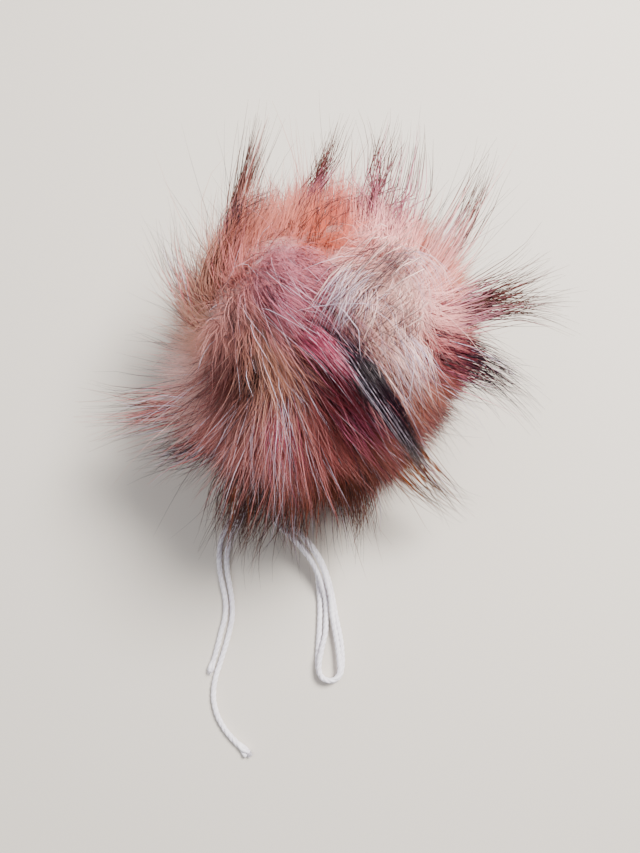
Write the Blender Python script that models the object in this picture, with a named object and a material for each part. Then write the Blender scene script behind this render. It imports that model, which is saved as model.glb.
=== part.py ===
"""A fur pom pom with its cotton yarn tie, lying on one side on a level surface.

The fur cover is one round piece of long pile, gathered into a ball. Its pile is
built as locks that grow out of the ball and lie the way the fur is combed. Four
lengths of yarn leave the gathered closing: two free tails, and two strands that
run side by side round one loop.

Metres, +Z up. The origin is the middle of the small flat spot under the ball.
"""

import math
from typing import NamedTuple

import bmesh
import bpy
import numpy as np
from mathutils import Vector

MM = 0.001

# Driving sizes, in millimetres.
BALL_RADIUS = 40.0  # the gathered cover under its long pile
BALL_HEIGHT = 38.3  # its middle above the surface that it rests on
SEAT_SIDES = 7  # corners of the flat spot under the ball
SEAT_RISE = 0.01  # of the flat spot above the tips of the locks that carry the ball
FOOT_TURNS = (45.0, 135.0, 225.0, 315.0)  # degrees round from +X: where a lock carries the ball
FOOT_CLEAR = 0.5  # by which all other locks miss the surface
LOCK_PLACES = 320  # even places on the whole ball, of which the bare underside and the tie take some
LOWEST_LOCK = -56.0  # degrees: no lock grows nearer the flat spot than this
LENGTH_VARIES = 0.14  # share by which a lock may be longer or shorter than its nap
LENGTH_SEED = 7
LOCK_WIDTH = 6.5  # across a lock at its root
LOCK_FLATNESS = 0.62  # a lock's height as a share of its width
LOCK_SHARES = (0.28, 0.56, 0.82)  # where along a lock its rings sit
LOCK_TAPER = 0.6  # power by which a lock narrows to its tip
LEAST_LEAN = 1.0  # a lock whose tip leans less than this is taken as straight
ROOT_STAND = 1.5  # how steeply a lock leaves the ball
PATH_STEPS = 16  # points that a lock's path is worked out at
ROOT_SHARE = 0.12  # of a lock's length is root, which may touch the next one's
SPOTS_A_LOCK = 16  # round spots that stand for a lock when room is sought for it
SPOT_WIDTH = 0.46  # radius of such a spot as a share of the lock's width there
PIECE_GAP = 0.3  # clear of the yarn and of the next lock
MORE_STAND = (0.0, 0.18, 0.4, 0.7)  # what a lock that touches another tries, to stand clear of it
UNDER_LENGTH = 16.0  # pile pressed under the ball is short
UNDER_RISE = -22.0  # degrees: pile grows shorter below this
YARN_DIAMETER = 1.8
YARN_ROOM = 0.9  # kept free round the yarn, beyond the gap that all pieces keep
YARN_STEP = 4.2  # between the points of a yarn's tube


class Nap(NamedTuple):
    """A stretch of the cover whose pile lies one way. Angles are in degrees."""

    name: str
    turn: float  # its place, round the ball from +X
    rise: float  # its place, above the ball's middle
    reach: float  # how far over the ball it holds
    aim: float  # where its pile points, round from +X
    lift: float  # where its pile points, above level
    stand: float  # how far its tips stand off the ball, 0 for lying flat
    length: float  # of its pile, in millimetres


NAPS = (
    #   name                 turn   rise  reach    aim  lift  stand length
    Nap("north_west_tuft",   143.0,  20.0, 12.0,   71.0,  8.0, 0.30, 50.0),
    Nap("west_shoulder",     160.0,  30.0, 14.0,   52.0,  4.0, 0.26, 38.0),
    Nap("north_west_fuzz",   120.0,  34.0, 11.0,   55.0, 15.0, 0.45, 22.0),
    Nap("north_tuft",        100.0,  26.0, 10.0,   74.0, 10.0, 0.40, 40.0),
    Nap("rust_valley",       100.0,  58.0, 12.0,  -80.0,  0.0, 0.22, 20.0),
    Nap("north_middle",       77.0,  28.0, 12.0,   84.0, 12.0, 0.50, 36.0),
    Nap("north_east",         54.0,  26.0, 13.0,   82.0, 12.0, 0.50, 38.0),
    Nap("east_of_north",      31.0,  30.0, 11.0,   72.0, 10.0, 0.45, 42.0),
    Nap("cream_top",          50.0,  64.0, 16.0, -128.0,  0.0, 0.18, 36.0),
    Nap("cream_east",         -3.0,  64.0, 14.0, -104.0,  0.0, 0.20, 32.0),
    Nap("cream_south",       -46.0,  62.0, 13.0,  -70.0, -4.0, 0.26, 34.0),
    Nap("mauve_crown",       146.0,  60.0, 15.0,  -56.0,  0.0, 0.20, 34.0),
    Nap("mauve_band",        171.0,  57.0, 13.0,  -41.0,  0.0, 0.18, 40.0),
    Nap("pink_streak",      -146.0,  72.0, 12.0,  -45.0,  0.0, 0.16, 40.0),
    Nap("black_lock",       -118.0,  82.0, 11.0,  -54.0,  2.0, 0.24, 56.0),
    Nap("west_tangle",       178.0,  42.0, 11.0,  -78.0,  0.0, 0.30, 22.0),
    Nap("whorl",            -152.0,  46.0, 11.0,  -88.0,  0.0, 0.28, 30.0),
    Nap("whorl_west",       -151.0,  28.0, 12.0, -118.0, -4.0, 0.36, 34.0),
    Nap("whorl_south",      -136.0,  36.0, 12.0,  -97.0, -2.0, 0.32, 36.0),
    Nap("whorl_east",       -124.0,  50.0, 12.0,  -70.0,  0.0, 0.24, 40.0),
    Nap("south_shoulder",   -102.0,  58.0, 13.0,  -46.0,  0.0, 0.20, 40.0),
    Nap("south_east_side",   -80.0,  36.0, 14.0,  -42.0, -4.0, 0.34, 34.0),
    Nap("west_fan",          172.0,  12.0, 13.0,  115.0, 12.0, 0.50, 32.0),
    Nap("west_side",        -172.0,   8.0, 12.0,  170.0,  6.0, 0.50, 30.0),
    Nap("west_low_tuft",    -158.0,   6.0,  9.0, -170.0,  3.0, 0.36, 52.0),
    Nap("south_west",       -146.0,   4.0, 11.0, -150.0, -2.0, 0.46, 36.0),
    Nap("south_west_low",   -132.0,   6.0, 12.0, -124.0, -4.0, 0.46, 30.0),
    Nap("south",            -114.0,   8.0, 13.0,  -98.0, -6.0, 0.46, 32.0),
    Nap("south_middle",      -92.0,  10.0, 13.0,  -80.0, -6.0, 0.44, 30.0),
    Nap("south_east",        -60.0,  14.0, 14.0,  -50.0, -6.0, 0.44, 28.0),
    Nap("east_tuft",          10.0,  30.0, 11.0,   18.0,  6.0, 0.38, 33.0),
    Nap("east_low_tuft",     -24.0,  36.0, 11.0,  -26.0, -2.0, 0.32, 34.0),
    Nap("east_fuzz",           0.0,  46.0,  9.0,    0.0, 15.0, 0.50, 14.0),
    Nap("back_north",         90.0,  -4.0, 20.0,   92.0,  0.0, 0.50, 28.0),
    Nap("back_east",          40.0,  -6.0, 20.0,   44.0,  0.0, 0.50, 28.0),
    Nap("east_side",         -10.0,   2.0, 18.0,  -12.0,  0.0, 0.50, 24.0),
    Nap("back_west",         140.0,  -8.0, 20.0,  136.0,  0.0, 0.50, 28.0),
)
PARTING_SHORTENS = 0.5  # share of its length that pile loses where naps fully disagree
LOOSE_SWAY = 0.01  # weight of plain outward pile, which fills what no nap reaches
LOOSE_STAND = 0.6
LOOSE_LENGTH = 26.0


class Lump(NamedTuple):
    """A swelling or hollow of the ball. Angles are in degrees, height in millimetres."""

    name: str
    turn: float
    rise: float
    reach: float
    height: float


LUMPS = (
    Lump("east_dome", 15.0, 62.0, 24.0, 2.6),
    Lump("west_dome", 168.0, 52.0, 22.0, 1.8),
    Lump("rust_valley", 98.0, 62.0, 11.0, -4.2),
    Lump("lock_valley", -108.0, 74.0, 12.0, -2.2),
    Lump("west_hollow", -166.0, 34.0, 8.0, -2.8),
    Lump("south_side", -110.0, 24.0, 22.0, 1.6),
)

# Middle lines of the yarn, from the gathered closing outwards, in millimetres.
SHORT_TAIL = (
    (-20.7, -24.8, 14.6),
    (-22.3, -26.9, 12.5),
    (-25.6, -31.2, 8.9),
    (-29.7, -36.8, 4.9),
    (-34.4, -43.4, 1.9),
    (-38.6, -49.4, 1.0),
    (-41.2, -53.6, 1.0),
    (-43.6, -58.2, 1.0),
    (-45.3, -62.4, 1.0),
    (-45.8, -67.0, 1.0),
    (-45.6, -72.0, 1.0),
    (-44.6, -77.4, 1.0),
    (-43.5, -81.8, 1.0),
    (-42.9, -86.2, 1.0),
    (-43.2, -90.6, 1.0),
    (-44.4, -95.4, 1.0),
    (-45.5, -100.2, 1.0),
    (-46.8, -105.0, 1.0),
    (-48.0, -108.8, 1.0),
)
LONG_TAIL = (
    (-19.9, -23.7, 12.8),
    (-21.5, -25.8, 10.7),
    (-24.0, -29.6, 7.0),
    (-27.0, -34.8, 3.4),
    (-30.6, -41.2, 1.3),
    (-34.9, -48.4, 1.0),
    (-39.2, -55.2, 1.0),
    (-41.6, -60.4, 1.0),
    (-42.6, -65.0, 1.0),
    (-42.9, -69.8, 1.0),
    (-42.5, -74.4, 1.0),
    (-41.7, -78.4, 1.0),
    (-40.9, -82.6, 1.0),
    (-40.4, -87.0, 1.0),
    (-40.6, -91.4, 1.0),
    (-41.6, -96.2, 1.0),
    (-42.8, -100.8, 1.0),
    (-44.2, -105.4, 1.0),
    (-45.7, -110.2, 1.0),
    (-46.5, -114.8, 1.0),
    (-46.3, -119.4, 1.0),
    (-44.9, -124.0, 1.0),
    (-42.6, -128.0, 1.0),
    (-39.8, -131.3, 1.0),
    (-36.8, -134.0, 1.0),
    (-33.6, -136.6, 1.0),
)
LOOP_OUTER = (
    (-18.1, -25.1, 12.7),
    (-19.6, -27.1, 10.7),
    (-22.3, -31.1, 9.2),
    (-25.1, -36.3, 9.3),
    (-27.3, -42.0, 10.2),
    (-27.7, -47.6, 10.9),
    (-26.1, -52.8, 10.9),
    (-22.6, -57.1, 10.2),
    (-18.4, -60.9, 9.0),
    (-14.7, -64.9, 7.4),
    (-11.5, -69.4, 5.6),
    (-9.4, -74.4, 3.7),
    (-8.8, -79.4, 2.0),
    (-8.4, -84.4, 1.0),
    (-8.4, -90.0, 1.0),
    (-8.6, -95.6, 1.0),
    (-9.0, -100.8, 1.0),
    (-9.2, -104.8, 1.0),
    (-9.0, -108.1, 1.0),
    (-8.1, -110.6, 1.0),
    (-6.1, -112.0, 1.0),
    (-3.6, -112.1, 1.0),
    (-1.5, -110.8, 1.0),
    (-0.5, -108.4, 1.0),
    (-0.2, -104.8, 1.0),
    (-0.5, -99.8, 1.0),
    (-1.5, -94.2, 1.0),
    (-2.7, -88.6, 1.0),
    (-3.7, -83.0, 1.6),
    (-5.0, -77.4, 3.1),
    (-6.9, -71.9, 5.2),
    (-9.7, -66.6, 7.2),
    (-13.2, -62.1, 9.0),
    (-17.2, -58.2, 10.3),
    (-21.0, -54.6, 10.9),
    (-23.9, -50.8, 10.9),
    (-25.0, -46.6, 10.7),
    (-24.4, -41.4, 10.0),
    (-22.2, -35.9, 9.2),
    (-19.6, -31.1, 9.5),
    (-17.5, -28.2, 10.9),
    (-16.3, -26.5, 12.8),
)
LOOP_INNER = (
    (-19.0, -26.3, 14.7),
    (-20.5, -28.3, 12.7),
    (-23.2, -32.1, 11.5),
    (-25.6, -36.9, 11.7),
    (-27.5, -42.1, 12.5),
    (-27.9, -47.6, 13.1),
    (-26.3, -52.9, 13.1),
    (-22.8, -57.3, 12.4),
    (-18.6, -61.2, 11.2),
    (-14.8, -65.3, 9.7),
    (-11.4, -69.8, 7.9),
    (-8.9, -74.6, 5.9),
    (-7.4, -79.4, 3.8),
    (-6.3, -84.4, 1.9),
    (-6.1, -90.0, 1.2),
    (-6.4, -95.6, 1.8),
    (-7.6, -100.6, 2.8),
    (-8.5, -104.8, 3.1),
    (-8.6, -107.9, 3.1),
    (-7.9, -110.2, 3.1),
    (-6.1, -111.5, 3.1),
    (-3.8, -111.6, 3.1),
    (-2.0, -110.4, 3.1),
    (-1.2, -108.0, 3.0),
    (-1.4, -104.6, 2.9),
    (-2.0, -99.8, 2.7),
    (-3.0, -94.2, 2.6),
    (-3.9, -88.6, 2.9),
    (-4.5, -83.1, 3.9),
    (-5.7, -77.7, 5.3),
    (-7.3, -72.3, 7.4),
    (-9.9, -67.0, 9.5),
    (-13.4, -62.4, 11.3),
    (-17.3, -58.5, 12.5),
    (-21.1, -54.9, 13.1),
    (-24.0, -51.1, 13.1),
    (-25.1, -46.8, 12.9),
    (-24.6, -41.5, 12.3),
    (-22.6, -36.2, 11.6),
    (-20.2, -31.6, 11.7),
    (-18.4, -29.2, 12.9),
    (-17.2, -27.5, 14.8),
)
YARNS = {
    "tail_short": SHORT_TAIL,
    "tail_long": LONG_TAIL,
    "loop_outer": LOOP_OUTER,
    "loop_inner": LOOP_INNER,
}

BALL_MIDDLE = np.array((0.0, 0.0, BALL_HEIGHT))
SEAT_RADIUS = math.sqrt(BALL_RADIUS**2 - BALL_HEIGHT**2)
UP = np.array((0.0, 0.0, 1.0))


def unit(vector):
    """The same direction, one long."""
    return vector / max(float(np.linalg.norm(vector)), 1e-12)


def pointing(turn, rise):
    """A unit vector, from degrees round from +X and degrees above level."""
    turn, rise = math.radians(turn), math.radians(rise)
    level = math.cos(rise)
    return np.array((level * math.cos(turn), level * math.sin(turn), math.sin(rise)))


NAP_PLACES = np.array([pointing(nap.turn, nap.rise) for nap in NAPS])
NAP_AIMS = np.array([pointing(nap.aim, nap.lift) for nap in NAPS])
NAP_REACHES = np.radians([nap.reach for nap in NAPS])
NAP_STANDS = np.array([nap.stand for nap in NAPS])
NAP_LENGTHS = np.array([nap.length for nap in NAPS])


def nap_at(place):
    """Which way the pile points at a place on the ball, how far it stands, and how long it is."""
    apart = np.arccos(np.clip(NAP_PLACES @ place, -1.0, 1.0))
    sway = np.exp(-((apart / NAP_REACHES) ** 2))
    total = sway.sum() + LOOSE_SWAY
    aim = (sway @ NAP_AIMS + LOOSE_SWAY * place) / total
    stand = (sway @ NAP_STANDS + LOOSE_SWAY * LOOSE_STAND) / total
    length = (sway @ NAP_LENGTHS + LOOSE_SWAY * LOOSE_LENGTH) / total
    below = math.degrees(math.asin(place[2])) - UNDER_RISE
    if below < 0.0:
        shrink = min(-below / (UNDER_RISE - LOWEST_LOCK), 1.0)
        length += shrink * (UNDER_LENGTH - length)
    length *= 1.0 - PARTING_SHORTENS * (1.0 - float(np.linalg.norm(aim)))
    return aim, stand, length


def ball_radius(place):
    """How far the ball's surface is from its middle, with its lumps and hollows."""
    radius = BALL_RADIUS
    for lump in LUMPS:
        apart = math.acos(float(np.clip(pointing(lump.turn, lump.rise) @ place, -1.0, 1.0)))
        radius += lump.height * math.exp(-0.5 * (apart / math.radians(lump.reach)) ** 2)
    return radius


def lock_width(share):
    """Across a lock, at a share of its length."""
    return LOCK_WIDTH * (1.0 - share) ** LOCK_TAPER


def lock_path(place, longer, more_stand):
    """Points along a lock's middle line, from its root on the ball to its tip."""
    aim, stand, length = nap_at(place)
    length *= longer
    point = BALL_MIDDLE + ball_radius(place) * place
    points = [point]
    step = length / PATH_STEPS
    for index in range(PATH_STEPS):
        share = (index + 0.5) / PATH_STEPS
        out = unit(point - BALL_MIDDLE)
        along = aim - min(0.0, float(aim @ out)) * out
        way = unit(along + (stand + more_stand + ROOT_STAND * (1.0 - share) ** 3) * out)
        point = point + step * way
        lowest = FOOT_CLEAR + LOCK_FLATNESS * lock_width(min(share, LOCK_SHARES[-1])) / 3.0
        if point[2] < lowest:
            point = np.array((point[0], point[1], lowest))
        points.append(point)
    return np.array(points)


def at_share(points, share):
    """The point at a share of a path's steps, and the path's direction there."""
    spot = share * (len(points) - 1)
    before = min(int(spot), len(points) - 2)
    way = points[before + 1] - points[before]
    return points[before] + (spot - before) * way, unit(way)


def lock_side(points):
    """The direction across a lock, square to its root and to the way it leans."""
    out = unit(points[0] - BALL_MIDDLE)
    side = np.cross(points[-1] - points[0], out)
    if np.linalg.norm(side) < LEAST_LEAN:
        side = np.cross(UP, out)
    return unit(side)


def lock_ring(points, share):
    """Three corners round a lock: left and right below, and the ridge above."""
    middle, way = at_share(points, share)
    if share == 0.0:
        way = unit(middle - BALL_MIDDLE)
    side = lock_side(points)
    side = unit(side - (side @ way) * way)
    ridge = np.cross(side, way)
    width = lock_width(share)
    height = LOCK_FLATNESS * width
    low = middle - ridge * height / 3.0
    ring = np.array((low - side * width / 2.0, low + side * width / 2.0, low + ridge * height))
    return ring + UP * max(0.0, FOOT_CLEAR - float(ring[:, 2].min()))


def even_places(count):
    """Evenly spread directions over a whole ball, along one spiral."""
    golden_turn = math.pi * (3.0 - math.sqrt(5.0))
    for index in range(count):
        z = 1.0 - 2.0 * (index + 0.5) / count
        level = math.sqrt(1.0 - z * z)
        yield np.array((level * math.cos(golden_turn * index), level * math.sin(golden_turn * index), z))


def smooth_line(route, spacing):
    """Points about this far apart on a smooth curve through all the route's points."""
    knots = np.array(route)
    before = np.vstack((2 * knots[0] - knots[1], knots[:-1]))
    after = np.vstack((knots[1:], 2 * knots[-1] - knots[-2]))
    slopes = (after - before) / 2.0
    line = []
    for index in range(len(knots) - 1):
        for share in np.linspace(0.0, 1.0, 24, endpoint=False):
            square, cube = share**2, share**3
            line.append(
                (2 * cube - 3 * square + 1) * knots[index]
                + (cube - 2 * square + share) * slopes[index]
                + (3 * square - 2 * cube) * knots[index + 1]
                + (cube - square) * slopes[index + 1]
            )
    line = np.array(line + [knots[-1]])
    run = np.concatenate(([0.0], np.cumsum(np.linalg.norm(np.diff(line, axis=0), axis=1))))
    count = max(int(round(run[-1] / spacing)), 2) + 1
    stops = np.linspace(0.0, run[-1], count)
    return np.column_stack([np.interp(stops, run, line[:, axis]) for axis in range(3)])


class Taken:
    """Round spots that are already filled, which a new lock has to clear."""

    def __init__(self):
        self.spots = np.zeros((0, 3))
        self.radii = np.zeros(0)

    def add(self, spots, radii):
        self.spots = np.vstack((self.spots, spots))
        self.radii = np.concatenate((self.radii, radii))

    def free(self, spots, radii):
        if not len(self.radii):
            return True
        apart = np.linalg.norm(self.spots[:, None] - spots[None], axis=2)
        return bool((apart > self.radii[:, None] + radii[None] + PIECE_GAP).all())


def lock_spots(points):
    """Round spots that fill a lock, leaving out its root, which is fused into the ball."""
    shares = np.linspace(ROOT_SHARE, 1.0, SPOTS_A_LOCK)
    spots = np.array([at_share(points, share)[0] for share in shares])
    return spots, SPOT_WIDTH * lock_width(shares)


def place_locks():
    """The paths of all locks that find room, the longest pile first."""
    taken = Taken()
    for route in YARNS.values():
        line = smooth_line(route, YARN_DIAMETER / 2.0)
        taken.add(line, np.full(len(line), YARN_DIAMETER / 2.0 + YARN_ROOM))
    lowest = math.sin(math.radians(LOWEST_LOCK))
    chance = np.random.default_rng(LENGTH_SEED)
    places = [place for place in even_places(LOCK_PLACES) if place[2] > lowest]
    lengths = 1.0 + LENGTH_VARIES * chance.uniform(-1.0, 1.0, len(places))
    growing = sorted(zip(places, lengths), key=lambda lock: -lock[1] * nap_at(lock[0])[2])
    locks = []
    for place, longer in growing:
        for more_stand in MORE_STAND:
            points = lock_path(place, longer, more_stand)
            spots, radii = lock_spots(points)
            if taken.free(spots, radii):
                taken.add(spots, radii)
                locks.append((place, points))
                break
    return locks


def on_round_ball(corner):
    """The place on the plain round ball under a point near its surface."""
    return BALL_MIDDLE + BALL_RADIUS * unit(corner - BALL_MIDDLE)


def build_fur_ball():
    """The gathered cover: a lumpy ball with a flat spot, whose faces grow into locks."""
    mesh = bmesh.new()
    roots = []
    for place, points in place_locks():
        corners = [mesh.verts.new(on_round_ball(corner)) for corner in lock_ring(points, 0.0)]
        roots.append((corners, points))
    for index in range(SEAT_SIDES):
        turn = 2.0 * math.pi * index / SEAT_SIDES
        mesh.verts.new((SEAT_RADIUS * math.cos(turn), SEAT_RADIUS * math.sin(turn), SEAT_RISE))
    bmesh.ops.convex_hull(mesh, input=mesh.verts[:])
    for vert in mesh.verts:
        place = unit(np.array(vert.co) - BALL_MIDDLE)
        vert.co = Vector(vert.co) + Vector(place * (ball_radius(place) - BALL_RADIUS))
    for corners, points in roots:
        grow_lock(mesh, mesh.faces.get(corners), corners, points)
    lower_feet(mesh)
    bmesh.ops.recalc_face_normals(mesh, faces=mesh.faces[:])
    bmesh.ops.scale(mesh, vec=(MM, MM, MM), verts=mesh.verts[:])
    data = bpy.data.meshes.new("fur_ball")
    mesh.to_mesh(data)
    mesh.free()
    data.shade_smooth()
    data.set_sharp_from_angle(angle=math.radians(60.0))
    ball = bpy.data.objects.new("fur_ball", data)
    bpy.context.scene.collection.objects.link(ball)
    return ball


def grow_lock(mesh, face, corners, points):
    """Extrudes a face of the ball along a lock's path, ring by ring, into a tip."""
    order = [corners.index(vert) for vert in face.verts]
    for share in LOCK_SHARES:
        face = bmesh.ops.extrude_discrete_faces(mesh, faces=[face])["faces"][0]
        ring = lock_ring(points, share)
        for vert, corner in zip(face.verts, order):
            vert.co = ring[corner]
    bmesh.ops.pointmerge(
        mesh,
        verts=bmesh.ops.extrude_discrete_faces(mesh, faces=[face])["faces"][0].verts[:],
        merge_co=points[-1],
    )


def lower_feet(mesh):
    """Brings one low corner on each side of the ball down to the surface, to carry it."""
    low = [vert for vert in mesh.verts if FOOT_CLEAR - 0.01 < vert.co.z < FOOT_CLEAR + 0.01]
    for turn in FOOT_TURNS:
        out = Vector(pointing(turn, 0.0))
        foot = max(low, key=lambda vert: vert.co.dot(out) - 2.0 * abs(vert.co.cross(out).z))
        foot.co.z = 0.0


def build_yarn(name, route):
    """A length of yarn: a plain tube on a smooth curve through its route."""
    line = smooth_line(route, YARN_STEP)
    curve = bpy.data.curves.new(name, "CURVE")
    curve.dimensions = "3D"
    curve.bevel_depth = YARN_DIAMETER / 2.0 * MM
    curve.bevel_resolution = 2
    curve.use_fill_caps = True
    spline = curve.splines.new("POLY")
    spline.points.add(len(line) - 1)
    for point, place in zip(spline.points, line):
        point.co = (*(place * MM), 1.0)
    yarn = bpy.data.objects.new(name, curve)
    bpy.context.scene.collection.objects.link(yarn)
    return yarn


def material(name, colour, roughness):
    """A plain surface of one colour."""
    made = bpy.data.materials.new(name)
    made.use_nodes = True
    shader = made.node_tree.nodes["Principled BSDF"]
    shader.inputs["Base Color"].default_value = (*colour, 1.0)
    shader.inputs["Roughness"].default_value = roughness
    return made


def clear_scene():
    """Removes whatever the scene starts with."""
    for old in list(bpy.data.objects):
        bpy.data.objects.remove(old, do_unlink=True)


def main():
    clear_scene()
    fur = material("pink_fur", colour=(0.50, 0.24, 0.20), roughness=0.6)
    build_fur_ball().data.materials.append(fur)
    for name, route in YARNS.items():
        cotton = material(f"{name}_cotton", colour=(0.82, 0.80, 0.82), roughness=0.85)
        build_yarn(name, route).data.materials.append(cotton)


main()
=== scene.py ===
"""Dresses the fur pom pom and its cotton yarn tie, on a plain pale floor.

The ball is a stuffed ground under several layers of hair: short underfur, long
guard hair that is combed and gathered into locks, and tufts with dark tips. The
tie is plied cotton yarn: a loop of two strands, and two tails with frayed ends.

Metres, +Z up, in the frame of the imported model. Tables are in millimetres.
"""

import logging
import math
from dataclasses import dataclass, field, fields
from enum import Enum
from typing import Any, NamedTuple, Sequence

import bpy
import mathutils
import numpy as np
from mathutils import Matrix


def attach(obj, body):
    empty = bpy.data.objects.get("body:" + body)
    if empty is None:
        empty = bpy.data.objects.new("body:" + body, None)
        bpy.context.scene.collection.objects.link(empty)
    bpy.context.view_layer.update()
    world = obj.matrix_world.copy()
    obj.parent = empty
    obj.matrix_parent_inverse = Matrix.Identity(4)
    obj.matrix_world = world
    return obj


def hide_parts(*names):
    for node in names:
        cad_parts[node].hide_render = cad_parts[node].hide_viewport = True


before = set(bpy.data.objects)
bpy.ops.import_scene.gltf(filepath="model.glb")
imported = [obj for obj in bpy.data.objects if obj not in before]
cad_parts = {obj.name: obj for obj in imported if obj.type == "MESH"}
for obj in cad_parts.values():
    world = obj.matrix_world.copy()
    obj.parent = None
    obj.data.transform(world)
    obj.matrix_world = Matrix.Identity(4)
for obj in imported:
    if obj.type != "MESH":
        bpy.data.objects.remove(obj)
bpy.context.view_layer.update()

MM = 0.001
LOG = logging.getLogger("pom_pom")
UP = np.array((0.0, 0.0, 1.0))
BAKE_MAP = "OFBake"
CURVE_STEPS = 24  # steps between two points of a route
LOCK_SPACING = 1.0  # between the points of a marked lock's middle line
CAP_LIMIT = 1e-5  # how far a cap's share along a fibre may vary
YARN_SIDES = 8
FUZZ_SIDES = 3


# ---------------------------------------------------------------- small maths


def unit(vectors: np.ndarray) -> np.ndarray:
    """Vectors of length one, along the last axis."""
    return vectors / np.maximum(np.linalg.norm(vectors, axis=-1, keepdims=True), 1e-12)


def pointing(turn: float, rise: float) -> np.ndarray:
    """A vector of length one that points a given way.

    Args:
        turn: degrees round from +X.
        rise: degrees above level.

    Returns:
        The vector.
    """
    turn, rise = math.radians(turn), math.radians(rise)
    level = math.cos(rise)
    return np.array((level * math.cos(turn), level * math.sin(turn), math.sin(rise)))


def even_places(count: int) -> np.ndarray:
    """Spreads places evenly over a whole ball, along one spiral.

    Args:
        count: how many places.

    Returns:
        A vector of length one for each.
    """
    index = np.arange(count)
    z = 1.0 - 2.0 * (index + 0.5) / count
    level = np.sqrt(1.0 - z * z)
    turn = math.pi * (3.0 - math.sqrt(5.0)) * index
    return np.column_stack((level * np.cos(turn), level * np.sin(turn), z))


def eased(values: np.ndarray, low: float, high: float) -> np.ndarray:
    """0 below low, 1 above high, and a soft step between them."""
    share = np.clip((values - low) / (high - low), 0.0, 1.0)
    return share * share * (3.0 - 2.0 * share)


def smooth_line(route: Sequence[Sequence[float]], spacing: float) -> np.ndarray:
    """Points on a smooth curve through a route.

    Args:
        route: the points that the curve goes through.
        spacing: about how far apart the points that come back are.

    Returns:
        One row for each point, in the route's own unit.
    """
    knots = np.array(route, float)
    before = np.vstack((2 * knots[0] - knots[1], knots[:-1]))
    after = np.vstack((knots[1:], 2 * knots[-1] - knots[-2]))
    slopes = (after - before) / 2.0
    line = []
    for index in range(len(knots) - 1):
        for share in np.linspace(0.0, 1.0, CURVE_STEPS, endpoint=False):
            square, cube = share**2, share**3
            line.append(
                (2 * cube - 3 * square + 1) * knots[index]
                + (cube - 2 * square + share) * slopes[index]
                + (3 * square - 2 * cube) * knots[index + 1]
                + (cube - square) * slopes[index + 1]
            )
    line = np.array(line + [knots[-1]])
    run = distances(line)
    count = max(int(round(run[-1] / spacing)), 2) + 1
    stops = np.linspace(0.0, run[-1], count)
    return np.column_stack([np.interp(stops, run, line[:, axis]) for axis in range(3)])


def length_of(line: np.ndarray) -> float:
    """The length of a line of points."""
    return float(np.linalg.norm(np.diff(line, axis=0), axis=1).sum())


def distances(line: np.ndarray) -> np.ndarray:
    """How far along a line each of its points is."""
    return np.concatenate(([0.0], np.cumsum(np.linalg.norm(np.diff(line, axis=0), axis=1))))


def frames_along(line: np.ndarray) -> tuple[np.ndarray, np.ndarray, np.ndarray]:
    """Directions that follow a line without twisting round it.

    Args:
        line: the line's points.

    Returns:
        The line's own direction at each point, and two directions across it.
    """
    way = unit(np.gradient(line, axis=0))
    side = np.zeros_like(line)
    last = unit(np.cross(way[0], UP))
    for index, direction in enumerate(way):
        last = unit(last - (last @ direction) * direction)
        side[index] = last
    return way, side, np.cross(way, side)


# ---------------------------------------------------------------- node building


class Blend(Enum):
    """The ways in which two colours are mixed."""

    MIX = "MIX"
    MULTIPLY = "MULTIPLY"


class Value:
    """A node's output. Its operators add Math nodes to the tree."""

    def __init__(self, nodes: "Nodes", socket: bpy.types.NodeSocket) -> None:
        """Keeps the socket and the tree that it is in."""
        self.nodes = nodes
        self.socket = socket

    def _math(self, operation: str, first: Any, second: Any) -> "Value":
        """A Math node on two values."""
        return self.nodes.value("ShaderNodeMath", {"operation": operation}, {0: first, 1: second})

    def __add__(self, other: Any) -> "Value":
        """This plus another."""
        return self._math("ADD", self, other)

    __radd__ = __add__

    def __sub__(self, other: Any) -> "Value":
        """This less another."""
        return self._math("SUBTRACT", self, other)

    def __rsub__(self, other: Any) -> "Value":
        """Another less this."""
        return self._math("SUBTRACT", other, self)

    def __mul__(self, other: Any) -> "Value":
        """This times another."""
        return self._math("MULTIPLY", self, other)

    __rmul__ = __mul__

    def __truediv__(self, other: Any) -> "Value":
        """This divided by another."""
        return self._math("DIVIDE", self, other)

    def __rtruediv__(self, other: Any) -> "Value":
        """Another divided by this."""
        return self._math("DIVIDE", other, self)

    def above(self, limit: Any) -> "Value":
        """1 where this is more than a limit, and 0 elsewhere."""
        return self._math("GREATER_THAN", self, limit)

    def apart(self, other: Any) -> "Value":
        """How far this is from another, never below 0."""
        return self._math("ABSOLUTE", self - other, 0.0)

    def sine(self) -> "Value":
        """The sine of this, taken as radians."""
        return self._math("SINE", self, 0.0)

    def eased(self, low: Any, high: Any) -> "Value":
        """A soft step.

        Args:
            low: up to this number the step stays at 0.
            high: from this number on it stays at 1.

        Returns:
            The step, from 0 to 1.
        """
        return self.nodes.value(
            "ShaderNodeMapRange",
            {"interpolation_type": "SMOOTHSTEP"},
            {"Value": self, "From Min": low, "From Max": high},
        )


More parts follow.
